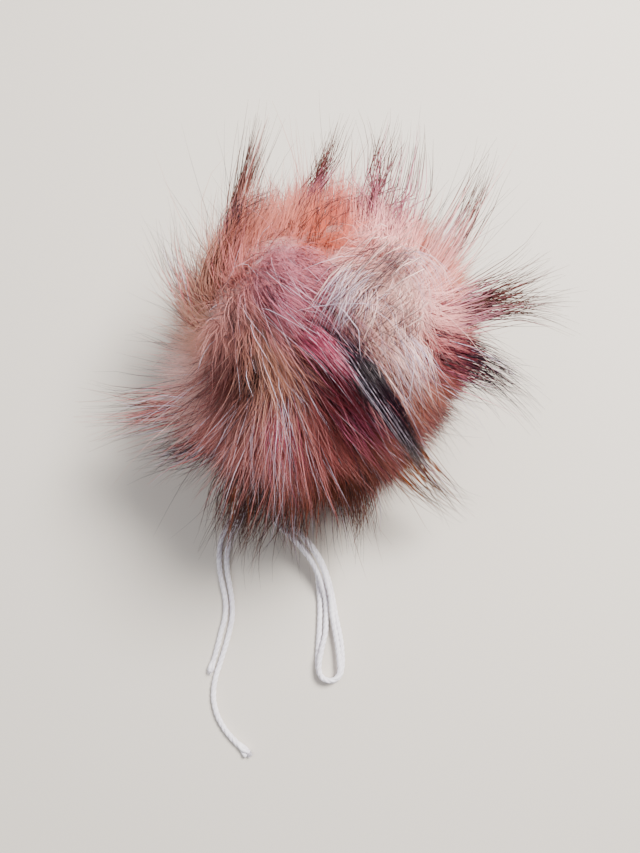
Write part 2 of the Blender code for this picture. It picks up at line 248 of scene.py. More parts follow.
class Nodes:
    """Adds nodes to one tree and joins them."""

    def __init__(self, tree: bpy.types.NodeTree) -> None:
        """Keeps the tree."""
        self.tree = tree

    def node(self, kind: str, settings: dict | None = None, sockets: dict | None = None) -> bpy.types.Node:
        """Adds any node.

        Args:
            kind: the node's type.
            settings: its own settings, set first.
            sockets: values or links for its inputs, by name or place.

        Returns:
            The new node.
        """
        made = self.tree.nodes.new(kind)
        for name, value in (settings or {}).items():
            setattr(made, name, value)
        for name, value in (sockets or {}).items():
            self.feed(made.inputs[name], value)
        return made

    def value(
        self, kind: str, settings: dict | None = None, sockets: dict | None = None, output: str | int = 0
    ) -> Value:
        """Adds any node and gives one of its outputs."""
        return Value(self, self.node(kind, settings, sockets).outputs[output])

    def feed(self, socket: bpy.types.NodeSocket, value: Any) -> None:
        """Fills an input.

        Args:
            socket: the input.
            value: a value to link to it, or its own number, colour or text.
        """
        if isinstance(value, Value):
            self.tree.links.new(value.socket, socket)
        else:
            socket.default_value = value

    def mixed(self, share: Any, first: Any, second: Any, blend: Blend = Blend.MIX) -> Value:
        """Mixes two colours.

        Args:
            share: the second colour's share, from 0 to 1.
            first: the first colour.
            second: the second colour.
            blend: how they are mixed.

        Returns:
            The mixed colour.
        """
        settings = {"data_type": "RGBA", "blend_type": blend.value}
        made = self.node("ShaderNodeMix", settings, {"Factor": share, 6: first, 7: second})
        return Value(self, made.outputs[2])

    def shaded(self, colour: Any, light: Value) -> Value:
        """A colour made lighter or darker by a number."""
        grey = self.value("ShaderNodeCombineColor", sockets={0: light, 1: light, 2: light})
        return self.mixed(1.0, colour, grey, Blend.MULTIPLY)

    def noise(self, place: Value, scale: float, detail: float = 2.0, roughness: float = 0.5) -> Value:
        """A noise that a place reads."""
        sockets = {"Vector": place, "Scale": scale, "Detail": detail, "Roughness": roughness}
        return self.value("ShaderNodeTexNoise", sockets=sockets)

    def place(self) -> Value:
        """Each point's own place in the piece, in metres."""
        return self.value("ShaderNodeTexCoord", output="Object")

    def attribute(self, name: str, output: str = "Color") -> Value:
        """A mesh attribute, in a material."""
        return self.value("ShaderNodeAttribute", {"attribute_name": name}, output=output)

    def on_faces(self, value: Value) -> Value:
        """The mean of a value over each face, in a tree of Geometry Nodes."""
        return self.value("GeometryNodeFieldOnDomain", {"domain": "FACE", "data_type": "FLOAT"}, {0: value})

    def named(self, name: str, kind: str = "FLOAT") -> Value:
        """A named attribute, in a tree of Geometry Nodes."""
        return self.value("GeometryNodeInputNamedAttribute", {"data_type": kind}, {"Name": name})

    def stored(self, geometry: Value, name: str, value: Value, kind: str, domain: str) -> Value:
        """Writes a named attribute, in a tree of Geometry Nodes.

        Args:
            geometry: the mesh or curve that gets it.
            name: the attribute's name.
            value: what it holds.
            kind: its data type.
            domain: whether points or corners hold it.

        Returns:
            The mesh or curve with the attribute.
        """
        sockets = {"Geometry": geometry, "Name": name, "Value": value}
        return self.value("GeometryNodeStoreNamedAttribute", {"data_type": kind, "domain": domain}, sockets)


class NodeShape:
    """A tree of Geometry Nodes with named inputs, which shapes objects."""

    def __init__(self, name: str, sizes: dict[str, tuple[str, Any]]) -> None:
        """Starts the tree.

        Args:
            name: what the tree is called.
            sizes: each input's name, with its socket type and default.
        """
        self.tree = bpy.data.node_groups.new(name, "GeometryNodeTree")
        self.nodes = Nodes(self.tree)
        self.tree.interface.new_socket("Geometry", in_out="INPUT", socket_type="NodeSocketGeometry")
        self.sockets = {}
        for size, (kind, value) in sizes.items():
            made = self.tree.interface.new_socket(size, in_out="INPUT", socket_type=kind)
            if value is not None:
                made.default_value = value
            self.sockets[size] = made.identifier
        self.tree.interface.new_socket("Geometry", in_out="OUTPUT", socket_type="NodeSocketGeometry")
        self.given = self.tree.nodes.new("NodeGroupInput")

    def size(self, name: str) -> Value:
        """A named input of the tree."""
        return Value(self.nodes, self.given.outputs[name])

    def finish(self, geometry: Value) -> None:
        """Ends the tree in Realize Instances and Set Material.

        Args:
            geometry: what the tree has made so far.
        """
        real = self.nodes.value("GeometryNodeRealizeInstances", sockets={"Geometry": geometry})
        dressed = self.nodes.value(
            "GeometryNodeSetMaterial", sockets={"Geometry": real, "Material": self.size("Material")}
        )
        self.nodes.node("NodeGroupOutput", sockets={"Geometry": dressed})

    def shape(self, name: str, start: bpy.types.ID, sizes: dict[str, Any]) -> bpy.types.Object:
        """Runs the tree on a mesh or curve.

        Args:
            name: the new piece's name.
            start: the mesh or curve data that the tree starts from.
            sizes: values for the tree's named inputs.

        Returns:
            A piece whose mesh is plain, with no modifier left on it.
        """
        rough = bpy.data.objects.new(f"{name}_start", start)
        bpy.context.scene.collection.objects.link(rough)
        modifier = rough.modifiers.new("shape", "NODES")
        modifier.node_group = self.tree
        for size, value in sizes.items():
            modifier[self.sockets[size]] = value
        bpy.context.view_layer.update()
        graph = bpy.context.evaluated_depsgraph_get()
        seen = rough.evaluated_get(graph)
        data = bpy.data.meshes.new_from_object(seen, preserve_all_data_layers=True, depsgraph=graph)
        bpy.data.objects.remove(rough, do_unlink=True)
        data.name = name
        return add_piece(name, data)


def soften(data: bpy.types.Mesh, middle: np.ndarray, softness: float) -> None:
    """Turns a mesh's shading towards the directions that lead away from a middle.

    Args:
        data: the mesh.
        middle: the middle, in metres.
        softness: 0 keeps the mesh's own shading, 1 shades it as a round ball.
    """
    points = np.zeros(len(data.vertices) * 3)
    normals = np.zeros(len(data.vertices) * 3)
    data.vertices.foreach_get("co", points)
    data.vertices.foreach_get("normal", normals)
    out = unit(points.reshape(-1, 3) - middle)
    mixed = unit((1.0 - softness) * normals.reshape(-1, 3) + softness * out)
    data.normals_split_custom_set_from_vertices(mixed.tolist())


def add_piece(name: str, data: bpy.types.Mesh) -> bpy.types.Object:
    """Puts a mesh in the scene, at the origin.

    Args:
        name: the new object's name.
        data: the mesh that it shows.

    Returns:
        The object.
    """
    piece = bpy.data.objects.new(name, data)
    bpy.context.scene.collection.objects.link(piece)
    return piece


def mesh_from(
    name: str, verts: np.ndarray, faces: list | None = None, edges: np.ndarray | None = None
) -> bpy.types.Mesh:
    """Makes a mesh from points, and from faces or edges.

    Args:
        name: the mesh's name.
        verts: one row for each point.
        faces: the points of each face, if it has faces.
        edges: the two points of each edge, if it has none.

    Returns:
        The mesh.
    """
    data = bpy.data.meshes.new(name)
    if faces is not None:
        data.from_pydata(verts.tolist(), [], faces)
    else:
        data.vertices.add(len(verts))
        data.vertices.foreach_set("co", np.ascontiguousarray(verts, np.float32).ravel())
        data.edges.add(len(edges))
        data.edges.foreach_set("vertices", np.ascontiguousarray(edges, np.int32).ravel())
    data.update()
    return data


def set_floats(data: bpy.types.Mesh, name: str, values: np.ndarray) -> None:
    """Gives each point of a mesh a number."""
    made = data.attributes.new(name, "FLOAT", "POINT")
    made.data.foreach_set("value", np.ascontiguousarray(values, np.float32).ravel())


def set_vectors(data: bpy.types.Mesh, name: str, values: np.ndarray) -> None:
    """Gives each point of a mesh a vector."""
    made = data.attributes.new(name, "FLOAT_VECTOR", "POINT")
    made.data.foreach_set("vector", np.ascontiguousarray(values, np.float32).ravel())


def set_colours(data: bpy.types.Mesh, name: str, values: np.ndarray) -> None:
    """Gives each point of a mesh a colour.

    Args:
        data: the mesh.
        name: the attribute's name.
        values: one row of red, green and blue for each point.
    """
    made = data.attributes.new(name, "FLOAT_COLOR", "POINT")
    full = np.column_stack((values, np.ones(len(values))))
    made.data.foreach_set("color", np.ascontiguousarray(full, np.float32).ravel())


# ---------------------------------------------------------------- finishes


def srgb(red: int, green: int, blue: int) -> tuple[float, float, float]:
    """A colour given as three numbers up to 255, as linear light."""
    shares = [value / 255.0 for value in (red, green, blue)]
    return tuple(s / 12.92 if s <= 0.04045 else ((s + 0.055) / 1.055) ** 2.4 for s in shares)


class Dye(Enum):
    """The colours that the pile is dyed in, as linear light, and one deep red-brown that paints shade."""

    PEACH = srgb(186, 106, 88)
    ROSE = srgb(206, 120, 118)
    BLUSH = srgb(226, 158, 156)
    MAUVE = srgb(182, 112, 128)
    MAGENTA = srgb(190, 88, 116)
    # pale lavender: real pale strands, and also painted highlight in place of glints on glossy hair
    LAVENDER = srgb(236, 218, 238)
    CREAM = srgb(255, 214, 206)
    RUST = srgb(174, 70, 42)
    SIENNA = srgb(184, 112, 92)
    UMBER = srgb(142, 70, 24)
    DUSTY = srgb(208, 146, 140)
    TAN = srgb(212, 156, 132)
    PLUM = srgb(132, 42, 58)
    # painted shade: this deep red-brown darkens the west hollow and the pile under and beside the black lock
    WINE = srgb(86, 21, 16)
    BROWN = srgb(76, 34, 26)
    BLACK = srgb(36, 14, 28)

    def array(self) -> np.ndarray:
        """The colour as an array."""
        return np.array(self.value)


def new_finish(name: str) -> tuple[bpy.types.Material, Nodes, bpy.types.Node]:
    """Starts a finish.

    Args:
        name: the material's name.

    Returns:
        The material, its tree and its shader.
    """
    made = bpy.data.materials.new(name)
    made.use_nodes = True
    return made, Nodes(made.node_tree), made.node_tree.nodes["Principled BSDF"]


@dataclass(frozen=True)
class HairFinish:
    """Fibre that runs from its root colour to its tip colour."""

    name: str
    roughness: float
    sheen: float
    specular: float
    roughness_spread: float = 0.2
    sheen_roughness: float = 0.5
    # painted shade: the root is darker than the rest of the hair, as in the depth of the pile
    root_shade: float = 0.5  # how light the root is, beside the rest
    shade_run: float = 0.4  # share of the hair over which the root's shade fades
    dye_run: float = 0.3  # share of the hair over which its dye changes
    mottle: float = 0.16
    grain_scale: float = 420.0
    grain_detail: float = 3.0
    grain_roughness: float = 0.6

    def material(self) -> bpy.types.Material:
        """Builds the finish, which reads the hair's own dyes and paints shade towards the root.

        Returns:
            The material.
        """
        made, nodes, shader = new_finish(self.name)
        along = nodes.attribute("along", "Fac")
        turns = nodes.attribute("turns", "Fac")
        grain = nodes.noise(nodes.place(), self.grain_scale, self.grain_detail, self.grain_roughness)
        tip_share = along.eased(turns, turns + self.dye_run)
        hue = nodes.mixed(tip_share, nodes.attribute("dye"), nodes.attribute("tips"))
        # painted shade: each hair darkens towards its root; the grain adds random tone
        light = along.eased(0.0, self.shade_run) * (1.0 - self.root_shade) + self.root_shade
        light = light * ((grain - 0.5) * (2.0 * self.mottle) + 1.0)
        nodes.feed(shader.inputs["Base Color"], nodes.shaded(hue, light))
        least = self.roughness - self.roughness_spread / 2.0
        nodes.feed(shader.inputs["Roughness"], grain * self.roughness_spread + least)
        shader.inputs["Specular IOR Level"].default_value = self.specular
        shader.inputs["Sheen Weight"].default_value = self.sheen
        shader.inputs["Sheen Roughness"].default_value = self.sheen_roughness
        return made


@dataclass(frozen=True)
class GroundFinish:
    """The dense short ground that shows between the locks."""

    name: str = "fur_ground"
    roughness: float = 0.85
    sheen: float = 0.4
    streak_detail: float = 4.0
    streak_roughness: float = 0.65
    streak_light: float = 1.1
    patch_scale: float = 110.0
    patch_detail: float = 3.0
    patch_light: float = 0.5
    least_light: float = 0.1
    relief: float = 0.0006
    relief_strength: float = 0.8

    def material(self) -> bpy.types.Material:
        """Builds the finish: the pile's dye, darkened as painted shade between the hairs, with fine fibre
        grain.

        Returns:
            The material.
        """
        made, nodes, shader = new_finish(self.name)
        comb = nodes.attribute("comb", "Vector")
        streaks = nodes.noise(comb, 1.0, self.streak_detail, self.streak_roughness)
        patches = nodes.noise(nodes.place(), self.patch_scale, self.patch_detail)
        light = streaks * self.streak_light + patches * self.patch_light + self.least_light
        nodes.feed(shader.inputs["Base Color"], nodes.shaded(nodes.attribute("dye"), light))
        relief = {"Strength": self.relief_strength, "Distance": self.relief, "Height": streaks + patches}
        nodes.feed(shader.inputs["Normal"], nodes.value("ShaderNodeBump", sockets=relief))
        shader.inputs["Roughness"].default_value = self.roughness
        shader.inputs["Sheen Weight"].default_value = self.sheen
        return made


@dataclass(frozen=True)
class CottonFinish:
    """Soft spun cotton, whose fibres run along each ply."""

    name: str = "spun_cotton"
    pale: tuple[float, float, float] = srgb(252, 249, 255)
    deep: tuple[float, float, float] = srgb(216, 208, 220)
    roughness: float = 0.95
    roughness_spread: float = 0.2
    sheen: float = 0.35
    fibre_detail: float = 4.0
    fibre_light: float = 0.75
    slub_scale: float = 160.0
    slub_light: float = 0.35
    contrast: tuple[float, float] = (0.3, 0.72)  # where the colour turns from deep to pale
    relief: float = 0.00012
    relief_strength: float = 0.5

    def material(self) -> bpy.types.Material:
        """Builds the finish, with fibres that follow the ply's own lie.

        Returns:
            The material.
        """
        made, nodes, shader = new_finish(self.name)
        fibres = nodes.noise(nodes.attribute("lie", "Vector"), 1.0, self.fibre_detail)
        slub = nodes.noise(nodes.place(), self.slub_scale)
        share = (fibres * self.fibre_light + slub * self.slub_light).eased(*self.contrast)
        hue = nodes.mixed(share, (*self.deep, 1.0), (*self.pale, 1.0))
        nodes.feed(shader.inputs["Base Color"], hue)
        relief = {"Strength": self.relief_strength, "Distance": self.relief, "Height": fibres}
        nodes.feed(shader.inputs["Normal"], nodes.value("ShaderNodeBump", sockets=relief))
        nodes.feed(shader.inputs["Roughness"], self.roughness - fibres * self.roughness_spread)
        shader.inputs["Sheen Weight"].default_value = self.sheen
        return made


@dataclass(frozen=True)
class FloorFinish:
    """A plain pale matt floor."""

    name: str = "pale_floor"
    colour: tuple[float, float, float] = srgb(212, 205, 195)
    roughness: float = 0.8

    def material(self) -> bpy.types.Material:
        """Builds the finish.

        Returns:
            The material.
        """
        made, _, shader = new_finish(self.name)
        shader.inputs["Base Color"].default_value = (*self.colour, 1.0)
        shader.inputs["Roughness"].default_value = self.roughness
        return made


# ---------------------------------------------------------------- the lay of the pile


class Nap(NamedTuple):
    """A stretch of the cover whose pile lies one way. Angles are in degrees."""

    name: str
    turn: float
    rise: float
    reach: float
    aim: float
    lift: float
    stand: float
    length: float
    gather: float


NAPS = (
    #   name                 turn   rise  reach    aim  lift  stand length gather
    Nap("north_west_tuft",    139.0,  21.0, 12.0,   71.0,  8.0, 0.30, 50.0, 0.75),
    Nap("west_shoulder",      158.0,  33.0, 14.0,   52.0,  4.0, 0.26, 38.0, 0.50),
    Nap("north_west_fuzz",    114.0,  35.0, 11.0,   55.0, 15.0, 0.45, 22.0, 0.20),
    Nap("north_tuft",          94.0,  26.0, 10.0,   74.0, 10.0, 0.40, 40.0, 0.65),
    Nap("rust_valley",         90.0,  58.0, 12.0,  -80.0,  0.0, 0.22, 20.0, 0.20),
    Nap("north_middle",        72.0,  27.0, 12.0,   84.0, 12.0, 0.50, 36.0, 0.35),
    Nap("north_east",          50.0,  25.0, 13.0,   82.0, 12.0, 0.50, 38.0, 0.35),
    Nap("east_of_north",       28.0,  28.0, 11.0,   72.0, 10.0, 0.45, 42.0, 0.50),
    Nap("cream_top",           42.0,  61.0, 16.0, -128.0,  0.0, 0.18, 36.0, 0.45),
    Nap("cream_east",          -2.0,  60.0, 14.0, -104.0,  0.0, 0.20, 32.0, 0.50),
    Nap("cream_south",        -39.0,  59.0, 13.0,  -70.0, -4.0, 0.26, 34.0, 0.55),
    Nap("mauve_crown",        139.0,  64.0, 15.0,  -56.0,  0.0, 0.20, 34.0, 0.35),
    Nap("mauve_band",         169.0,  61.0, 13.0,  -41.0,  0.0, 0.18, 40.0, 0.50),
    Nap("pink_streak",       -134.0,  76.0, 12.0,  -45.0,  0.0, 0.16, 40.0, 0.50),
    Nap("black_lock",         -79.0,  83.0, 11.0,  -54.0,  2.0, 0.24, 56.0, 0.70),
    Nap("west_tangle",        178.0,  46.0, 11.0,  -78.0,  0.0, 0.30, 22.0, 0.20),
    Nap("whorl",             -148.0,  49.0, 11.0,  -88.0,  0.0, 0.28, 30.0, 0.35),
    Nap("whorl_west",        -148.0,  30.0, 12.0, -118.0, -4.0, 0.36, 34.0, 0.55),
    Nap("whorl_south",       -131.0,  38.0, 12.0,  -97.0, -2.0, 0.32, 36.0, 0.45),
    Nap("whorl_east",        -117.0,  52.0, 12.0,  -70.0,  0.0, 0.24, 40.0, 0.45),
    Nap("south_shoulder",     -92.0,  59.0, 13.0,  -46.0,  0.0, 0.20, 40.0, 0.50),
    Nap("south_east_side",    -74.0,  35.0, 14.0,  -42.0, -4.0, 0.34, 29.0, 0.50),
    Nap("west_fan",           171.0,  13.0, 13.0,  115.0, 12.0, 0.50, 32.0, 0.40),
    Nap("west_side",         -171.0,   9.0, 12.0,  170.0,  6.0, 0.50, 30.0, 0.45),
    Nap("west_low_tuft",     -156.0,   7.0,  9.0, -170.0,  3.0, 0.36, 52.0, 0.75),
    Nap("south_west",        -143.0,   4.0, 11.0, -150.0, -2.0, 0.46, 36.0, 0.60),
    Nap("south_west_low",    -128.0,   6.0, 12.0, -124.0, -4.0, 0.46, 30.0, 0.50),
    Nap("south",             -109.0,   8.0, 13.0,  -98.0, -6.0, 0.46, 32.0, 0.45),
    Nap("south_middle",       -87.0,  10.0, 13.0,  -80.0, -6.0, 0.44, 30.0, 0.45),
    Nap("south_east",         -56.0,  13.0, 14.0,  -50.0, -6.0, 0.44, 23.0, 0.50),
    Nap("east_tuft",            9.0,  28.0, 11.0,   18.0,  6.0, 0.38, 33.0, 0.70),
    Nap("east_low_tuft",      -22.0,  33.0, 11.0,  -26.0, -2.0, 0.32, 34.0, 0.70),
    Nap("east_fuzz",            0.0,  43.0,  9.0,    0.0, 15.0, 0.50, 14.0, 0.10),
    Nap("back_north",         90.0,  -4.0, 20.0,   92.0,  0.0, 0.50, 28.0, 0.50),
    Nap("back_east",          40.0,  -6.0, 20.0,   44.0,  0.0, 0.50, 28.0, 0.50),
    Nap("east_side",          -15.0,   4.0, 20.0,  -18.0,  0.0, 0.50, 17.0, 0.50),
    Nap("back_west",         140.0,  -8.0, 20.0,  136.0,  0.0, 0.50, 28.0, 0.50),
)


class Lump(NamedTuple):
    """A swelling or hollow of the ball. Angles are in degrees, height in millimetres."""

    name: str
    turn: float
    rise: float
    reach: float
    height: float


LUMPS = (
    Lump("east_dome", 15.0, 62.0, 24.0, 2.6),
    Lump("west_dome", 168.0, 52.0, 22.0, 1.8),
    Lump("rust_valley", 95.0, 56.0, 11.0, -4.2),
    Lump("lock_valley", -108.0, 74.0, 12.0, -2.2),
    Lump("west_hollow", -155.0, 42.0, 7.0, -5.0),
    Lump("south_side", -110.0, 24.0, 22.0, 1.6),
    Lump("north_east_side", 42.0, 30.0, 22.0, -6.0),
    Lump("east_side", -8.0, 14.0, 26.0, -4.0),
    Lump("south_east_side", -50.0, 18.0, 26.0, -10.0),
    Lump("west_side", 180.0, 16.0, 26.0, 1.5),
)


@dataclass(frozen=True)
class Ball:
    """The gathered cover under its pile, in millimetres."""

    radius: float = 38.8
    across: float = -4.0
    height: float = 38.3

    @property
    def middle(self) -> np.ndarray:
        """The ball's middle."""
        return np.array((self.across, 0.0, self.height))

    def reach(self, places: np.ndarray) -> np.ndarray:
        """How far the surface is from the middle.

        Args:
            places: directions from the middle.

        Returns:
            One distance for each.
        """
        radius = np.full(len(places), self.radius)
        for lump in LUMPS:
            apart = np.arccos(np.clip(places @ pointing(lump.turn, lump.rise), -1.0, 1.0))
            radius += lump.height * np.exp(-0.5 * (apart / math.radians(lump.reach)) ** 2)
        return radius

    def surface(self, places: np.ndarray) -> np.ndarray:
        """Points on the surface, at each place."""
        return self.middle + self.reach(places)[:, None] * places


class Tint(NamedTuple):
    """A stretch of the cover with its own colours. Angles are in degrees, shares from 0 to 1."""

    name: str
    turn: float
    rise: float
    reach: float
    body: Dye
    tips: Dye
    dark: float  # share of hairs that end in a dark tip
    # pale hairs: partly real pale strands, partly painted highlight in place of glints
    pale: float  # share of hairs that are pale and glossy
    guard: float  # share of the long hair that grows here


TINTS = (
    #    name                 turn   rise  reach  body           tips           dark  pale  guard
    Tint("west_shoulder",    148.0,  27.0,  12.0, Dye.PEACH,     Dye.BROWN,     0.45, 0.04, 0.70),
    Tint("north_west",       112.0,  31.0,  11.0, Dye.PEACH,     Dye.PEACH,     0.08, 0.03, 0.20),
    Tint("north_rim",        108.0,  18.0,  10.0, Dye.ROSE,      Dye.BROWN,     0.35, 0.02, 0.50),
    Tint("rust_valley",       93.0,  48.0,  11.0, Dye.RUST,      Dye.PEACH,     0.20, 0.02, 0.25),
    Tint("mauve_crown",      138.0,  66.0,  10.0, Dye.MAUVE,     Dye.LAVENDER,  0.10, 0.12, 0.70),
    Tint("mauve_band",      -168.0,  74.0,   9.0, Dye.MAUVE,     Dye.MAGENTA,   0.50, 0.15, 0.90),
    Tint("west_fuzz",        163.0,  20.0,  11.0, Dye.TAN,       Dye.TAN,       0.20, 0.04, 0.40),
    Tint("west_brown",       177.0,  22.0,   9.0, Dye.TAN,       Dye.BROWN,     0.25, 0.04, 0.50),
    Tint("west_tangle",      180.0,  46.0,   8.0, Dye.DUSTY,     Dye.PLUM,      0.40, 0.08, 0.80),
    # painted shade: the pile in the west hollow is darkened with the deep red-brown
    Tint("west_hollow",     -155.0,  43.0,   9.0, Dye.WINE,      Dye.WINE,      0.50, 0.00, 0.25),
    Tint("west_flank",      -166.0,   9.0,  11.0, Dye.CREAM,     Dye.DUSTY,     0.20, 0.10, 0.40),
    Tint("whorl",           -150.0,  58.0,   9.0, Dye.TAN,       Dye.LAVENDER,  0.18, 0.30, 0.90),
    Tint("whorl_south",     -131.0,  41.0,  10.0, Dye.DUSTY,     Dye.ROSE,      0.34, 0.24, 1.00),
    Tint("south_pink",      -115.0,  35.5,   9.0, Dye.ROSE,      Dye.BLUSH,     0.34, 0.24, 1.00),
    Tint("belly",           -107.0,  15.0,  10.0, Dye.PEACH,     Dye.RUST,      0.30, 0.18, 0.70),
    Tint("south_west",      -123.0,  -1.0,  12.0, Dye.BROWN,     Dye.BLACK,     0.75, 0.05, 0.90),
    Tint("south",            -86.0,   8.0,  11.0, Dye.UMBER,     Dye.BLACK,     0.60, 0.04, 0.90),
    Tint("south_east",       -69.0,  27.0,  10.0, Dye.SIENNA,    Dye.BROWN,     0.50, 0.06, 0.95),
    Tint("pink_streak",     -105.0,  68.0,   7.0, Dye.PLUM,      Dye.MAGENTA,   0.35, 0.06, 0.60),
    Tint("lock_shadow",      -85.0,  57.0,   7.0, Dye.WINE,      Dye.PLUM,      0.50, 0.02, 0.50),
    Tint("lock_side",        -60.0,  48.0,   7.0, Dye.BROWN,     Dye.BLACK,     0.50, 0.04, 0.35),
    Tint("cream_top",         61.0,  61.0,  10.0, Dye.BLUSH,     Dye.CREAM,     0.28, 0.22, 0.80),
    Tint("cream_ridge",       29.0,  57.0,   9.0, Dye.CREAM,     Dye.CREAM,     0.06, 0.34, 0.70),
    Tint("cream_middle",       3.0,  77.0,   9.0, Dye.CREAM,     Dye.CREAM,     0.26, 0.34, 1.00),
    Tint("cream_south",      -35.0,  63.0,   8.0, Dye.DUSTY,     Dye.SIENNA,    0.36, 0.30, 0.90),
    Tint("cream_low",        -43.0,  50.0,   8.0, Dye.SIENNA,    Dye.CREAM,     0.45, 0.20, 0.90),
    Tint("north_pink",        64.0,  36.0,  11.0, Dye.BLUSH,     Dye.BLUSH,     0.08, 0.02, 0.15),
    Tint("east_pink",         20.0,  46.0,   9.0, Dye.BLUSH,     Dye.BLUSH,     0.06, 0.02, 0.15),
    Tint("east_fuzz",          1.0,  38.0,   9.0, Dye.BLUSH,     Dye.BLUSH,     0.08, 0.02, 0.15),
    Tint("east_low",         -14.0,  40.0,  10.0, Dye.PLUM,      Dye.BROWN,     0.50, 0.05, 0.70),
    Tint("east_brown",       -32.0,  40.0,   8.0, Dye.SIENNA,    Dye.BROWN,     0.45, 0.08, 0.80),
    Tint("north_side",        90.0,   0.0,  22.0, Dye.ROSE,      Dye.BLACK,     0.35, 0.05, 0.80),
    Tint("east_side",         14.0,   8.0,  22.0, Dye.PEACH,     Dye.BLACK,     0.30, 0.05, 0.60),
    Tint("south_east_side",  -50.0,   4.0,  16.0, Dye.ROSE,      Dye.BLACK,     0.50, 0.05, 0.80),
)
ELSEWHERE = Tint("elsewhere", 0.0, 0.0, 0.0, Dye.ROSE, Dye.BROWN, 0.30, 0.10, 0.90)
ELSEWHERE_SWAY = 0.04


@dataclass
class Lay:
    """How the pile lies at many places at once."""

    aim: np.ndarray
    stand: np.ndarray
    length: np.ndarray
    gather: np.ndarray


@dataclass(frozen=True)
class Combing:
    """The lay of the pile all over the ball, in millimetres."""

    ball: Ball
    loose_sway: float = 0.01
    loose_stand: float = 0.6
    loose_length: float = 26.0
    loose_gather: float = 0.4
    parting_shortens: float = 0.5
    root_stand: float = 1.3
    root_power: float = 3.0
    under_rise: float = -22.0
    under_length: float = 16.0
    lowest_rise: float = -56.0

    def at(self, places: np.ndarray) -> Lay:
        """Blends the table of naps.

        Args:
            places: directions from the ball's middle.

        Returns:
            The lay of the pile at each.
        """
        naps = np.array([pointing(nap.turn, nap.rise) for nap in NAPS])
        aims = np.array([pointing(nap.aim, nap.lift) for nap in NAPS])
        apart = np.degrees(np.arccos(np.clip(places @ naps.T, -1.0, 1.0)))
        sway = np.exp(-((apart / np.array([nap.reach for nap in NAPS])) ** 2))
        total = sway.sum(1) + self.loose_sway
        aim = (sway @ aims + self.loose_sway * places) / total[:, None]

        def blended(name: str, loose: float) -> np.ndarray:
            """One column of the table, at each place."""
            return (sway @ np.array([getattr(nap, name) for nap in NAPS]) + self.loose_sway * loose) / total

        length = blended("length", self.loose_length)
        below = np.degrees(np.arcsin(places[:, 2])) - self.under_rise
        shrink = np.clip(-below / (self.under_rise - self.lowest_rise), 0.0, 1.0)
        length += shrink * (self.under_length - length)
        length *= 1.0 - self.parting_shortens * (1.0 - np.linalg.norm(aim, axis=1))
        return Lay(aim, blended("stand", self.loose_stand), length, blended("gather", self.loose_gather))

    def lines(self, places: np.ndarray, lay: Lay, points: int, steps: int = 18) -> np.ndarray:
        """The middle lines of hairs, from their roots on the ball to their tips.

        Args:
            places: each hair's place on the ball.
            lay: how each hair lies.
            points: how many points each line gets.
            steps: how many steps each line is worked out in.

        Returns:
            An array of hairs, points and three numbers, in millimetres.
        """
        point = self.ball.surface(places)
        line = [point]
        for index in range(steps):
            share = (index + 0.5) / steps
            out = unit(point - self.ball.middle)
            facing = (lay.aim * out).sum(1, keepdims=True)
            along = lay.aim - np.minimum(facing, 0.0) * out
            lift = (lay.stand + self.root_stand * (1.0 - share) ** self.root_power)[:, None]
            point = point + (lay.length / steps)[:, None] * unit(along + lift * out)
            line.append(point)
        full = np.stack(line, axis=1)
        stops = np.linspace(0.0, steps, points)
        low = np.minimum(stops.astype(int), steps - 1)
        share = (stops - low)[None, :, None]
        return full[:, low] * (1.0 - share) + full[:, low + 1] * share


@dataclass
class Colouring:
    """The colours of the pile at many places at once."""

    body: np.ndarray
    tips: np.ndarray
    dark: np.ndarray
    pale: np.ndarray
    guard: np.ndarray


def colouring(places: np.ndarray) -> Colouring:
    """Blends the table of tints.

    Args:
        places: directions from the ball's middle.

    Returns:
        The colours of the pile at each.
    """
    spots = np.array([pointing(tint.turn, tint.rise) for tint in TINTS])
    apart = np.degrees(np.arccos(np.clip(places @ spots.T, -1.0, 1.0)))
    sway = np.exp(-((apart / np.array([tint.reach for tint in TINTS])) ** 2))
    total = (sway.sum(1) + ELSEWHERE_SWAY)[:, None]

    def blended(name: str) -> np.ndarray:
        """Blends one column of the table.

        Args:
            name: the column's name.

        Returns:
            One row for each place.
        """
        cells = [getattr(tint, name) for tint in (*TINTS, ELSEWHERE)]
        rows = [cell.value if isinstance(cell, Dye) else (cell,) for cell in cells]
        rows = np.array(rows, float)
        return (sway @ rows[:-1] + ELSEWHERE_SWAY * rows[-1]) / total

    dark, pale, guard = (blended(name)[:, 0] for name in ("dark", "pale", "guard"))
    return Colouring(blended("body"), blended("tips"), dark, pale, guard)


# ---------------------------------------------------------------- hair


@dataclass
class Hairs:
    """Hairs' middle lines in millimetres, with each one's thickness and dyes."""

    lines: np.ndarray
    radii: np.ndarray
    body: np.ndarray
    tips: np.ndarray
    turns: np.ndarray

    @staticmethod
    def joined(parts: "list[Hairs]") -> "Hairs":
        """Several sets of hairs with as many points each, as one set."""
        names = [each.name for each in fields(Hairs)]
        return Hairs(*(np.concatenate([getattr(part, name) for part in parts]) for name in names))

    def chosen(self, which: np.ndarray) -> "Hairs":
        """Some of these hairs."""
        return Hairs(*(getattr(self, each.name)[which] for each in fields(Hairs)))


def fibre_tree(name: str, sides: int) -> NodeShape:
    """Starts a tree that sweeps fibres.

    Args:
        name: what the tree is called.
        sides: how many sides a fibre has, unless a piece says otherwise.

    Returns:
        The tree.
    """
    sizes = {
        "Sides": ("NodeSocketInt", sides),
        "Bulge": ("NodeSocketFloat", 0.0),
        "Material": ("NodeSocketMaterial", None),
    }
    return NodeShape(name, sizes)


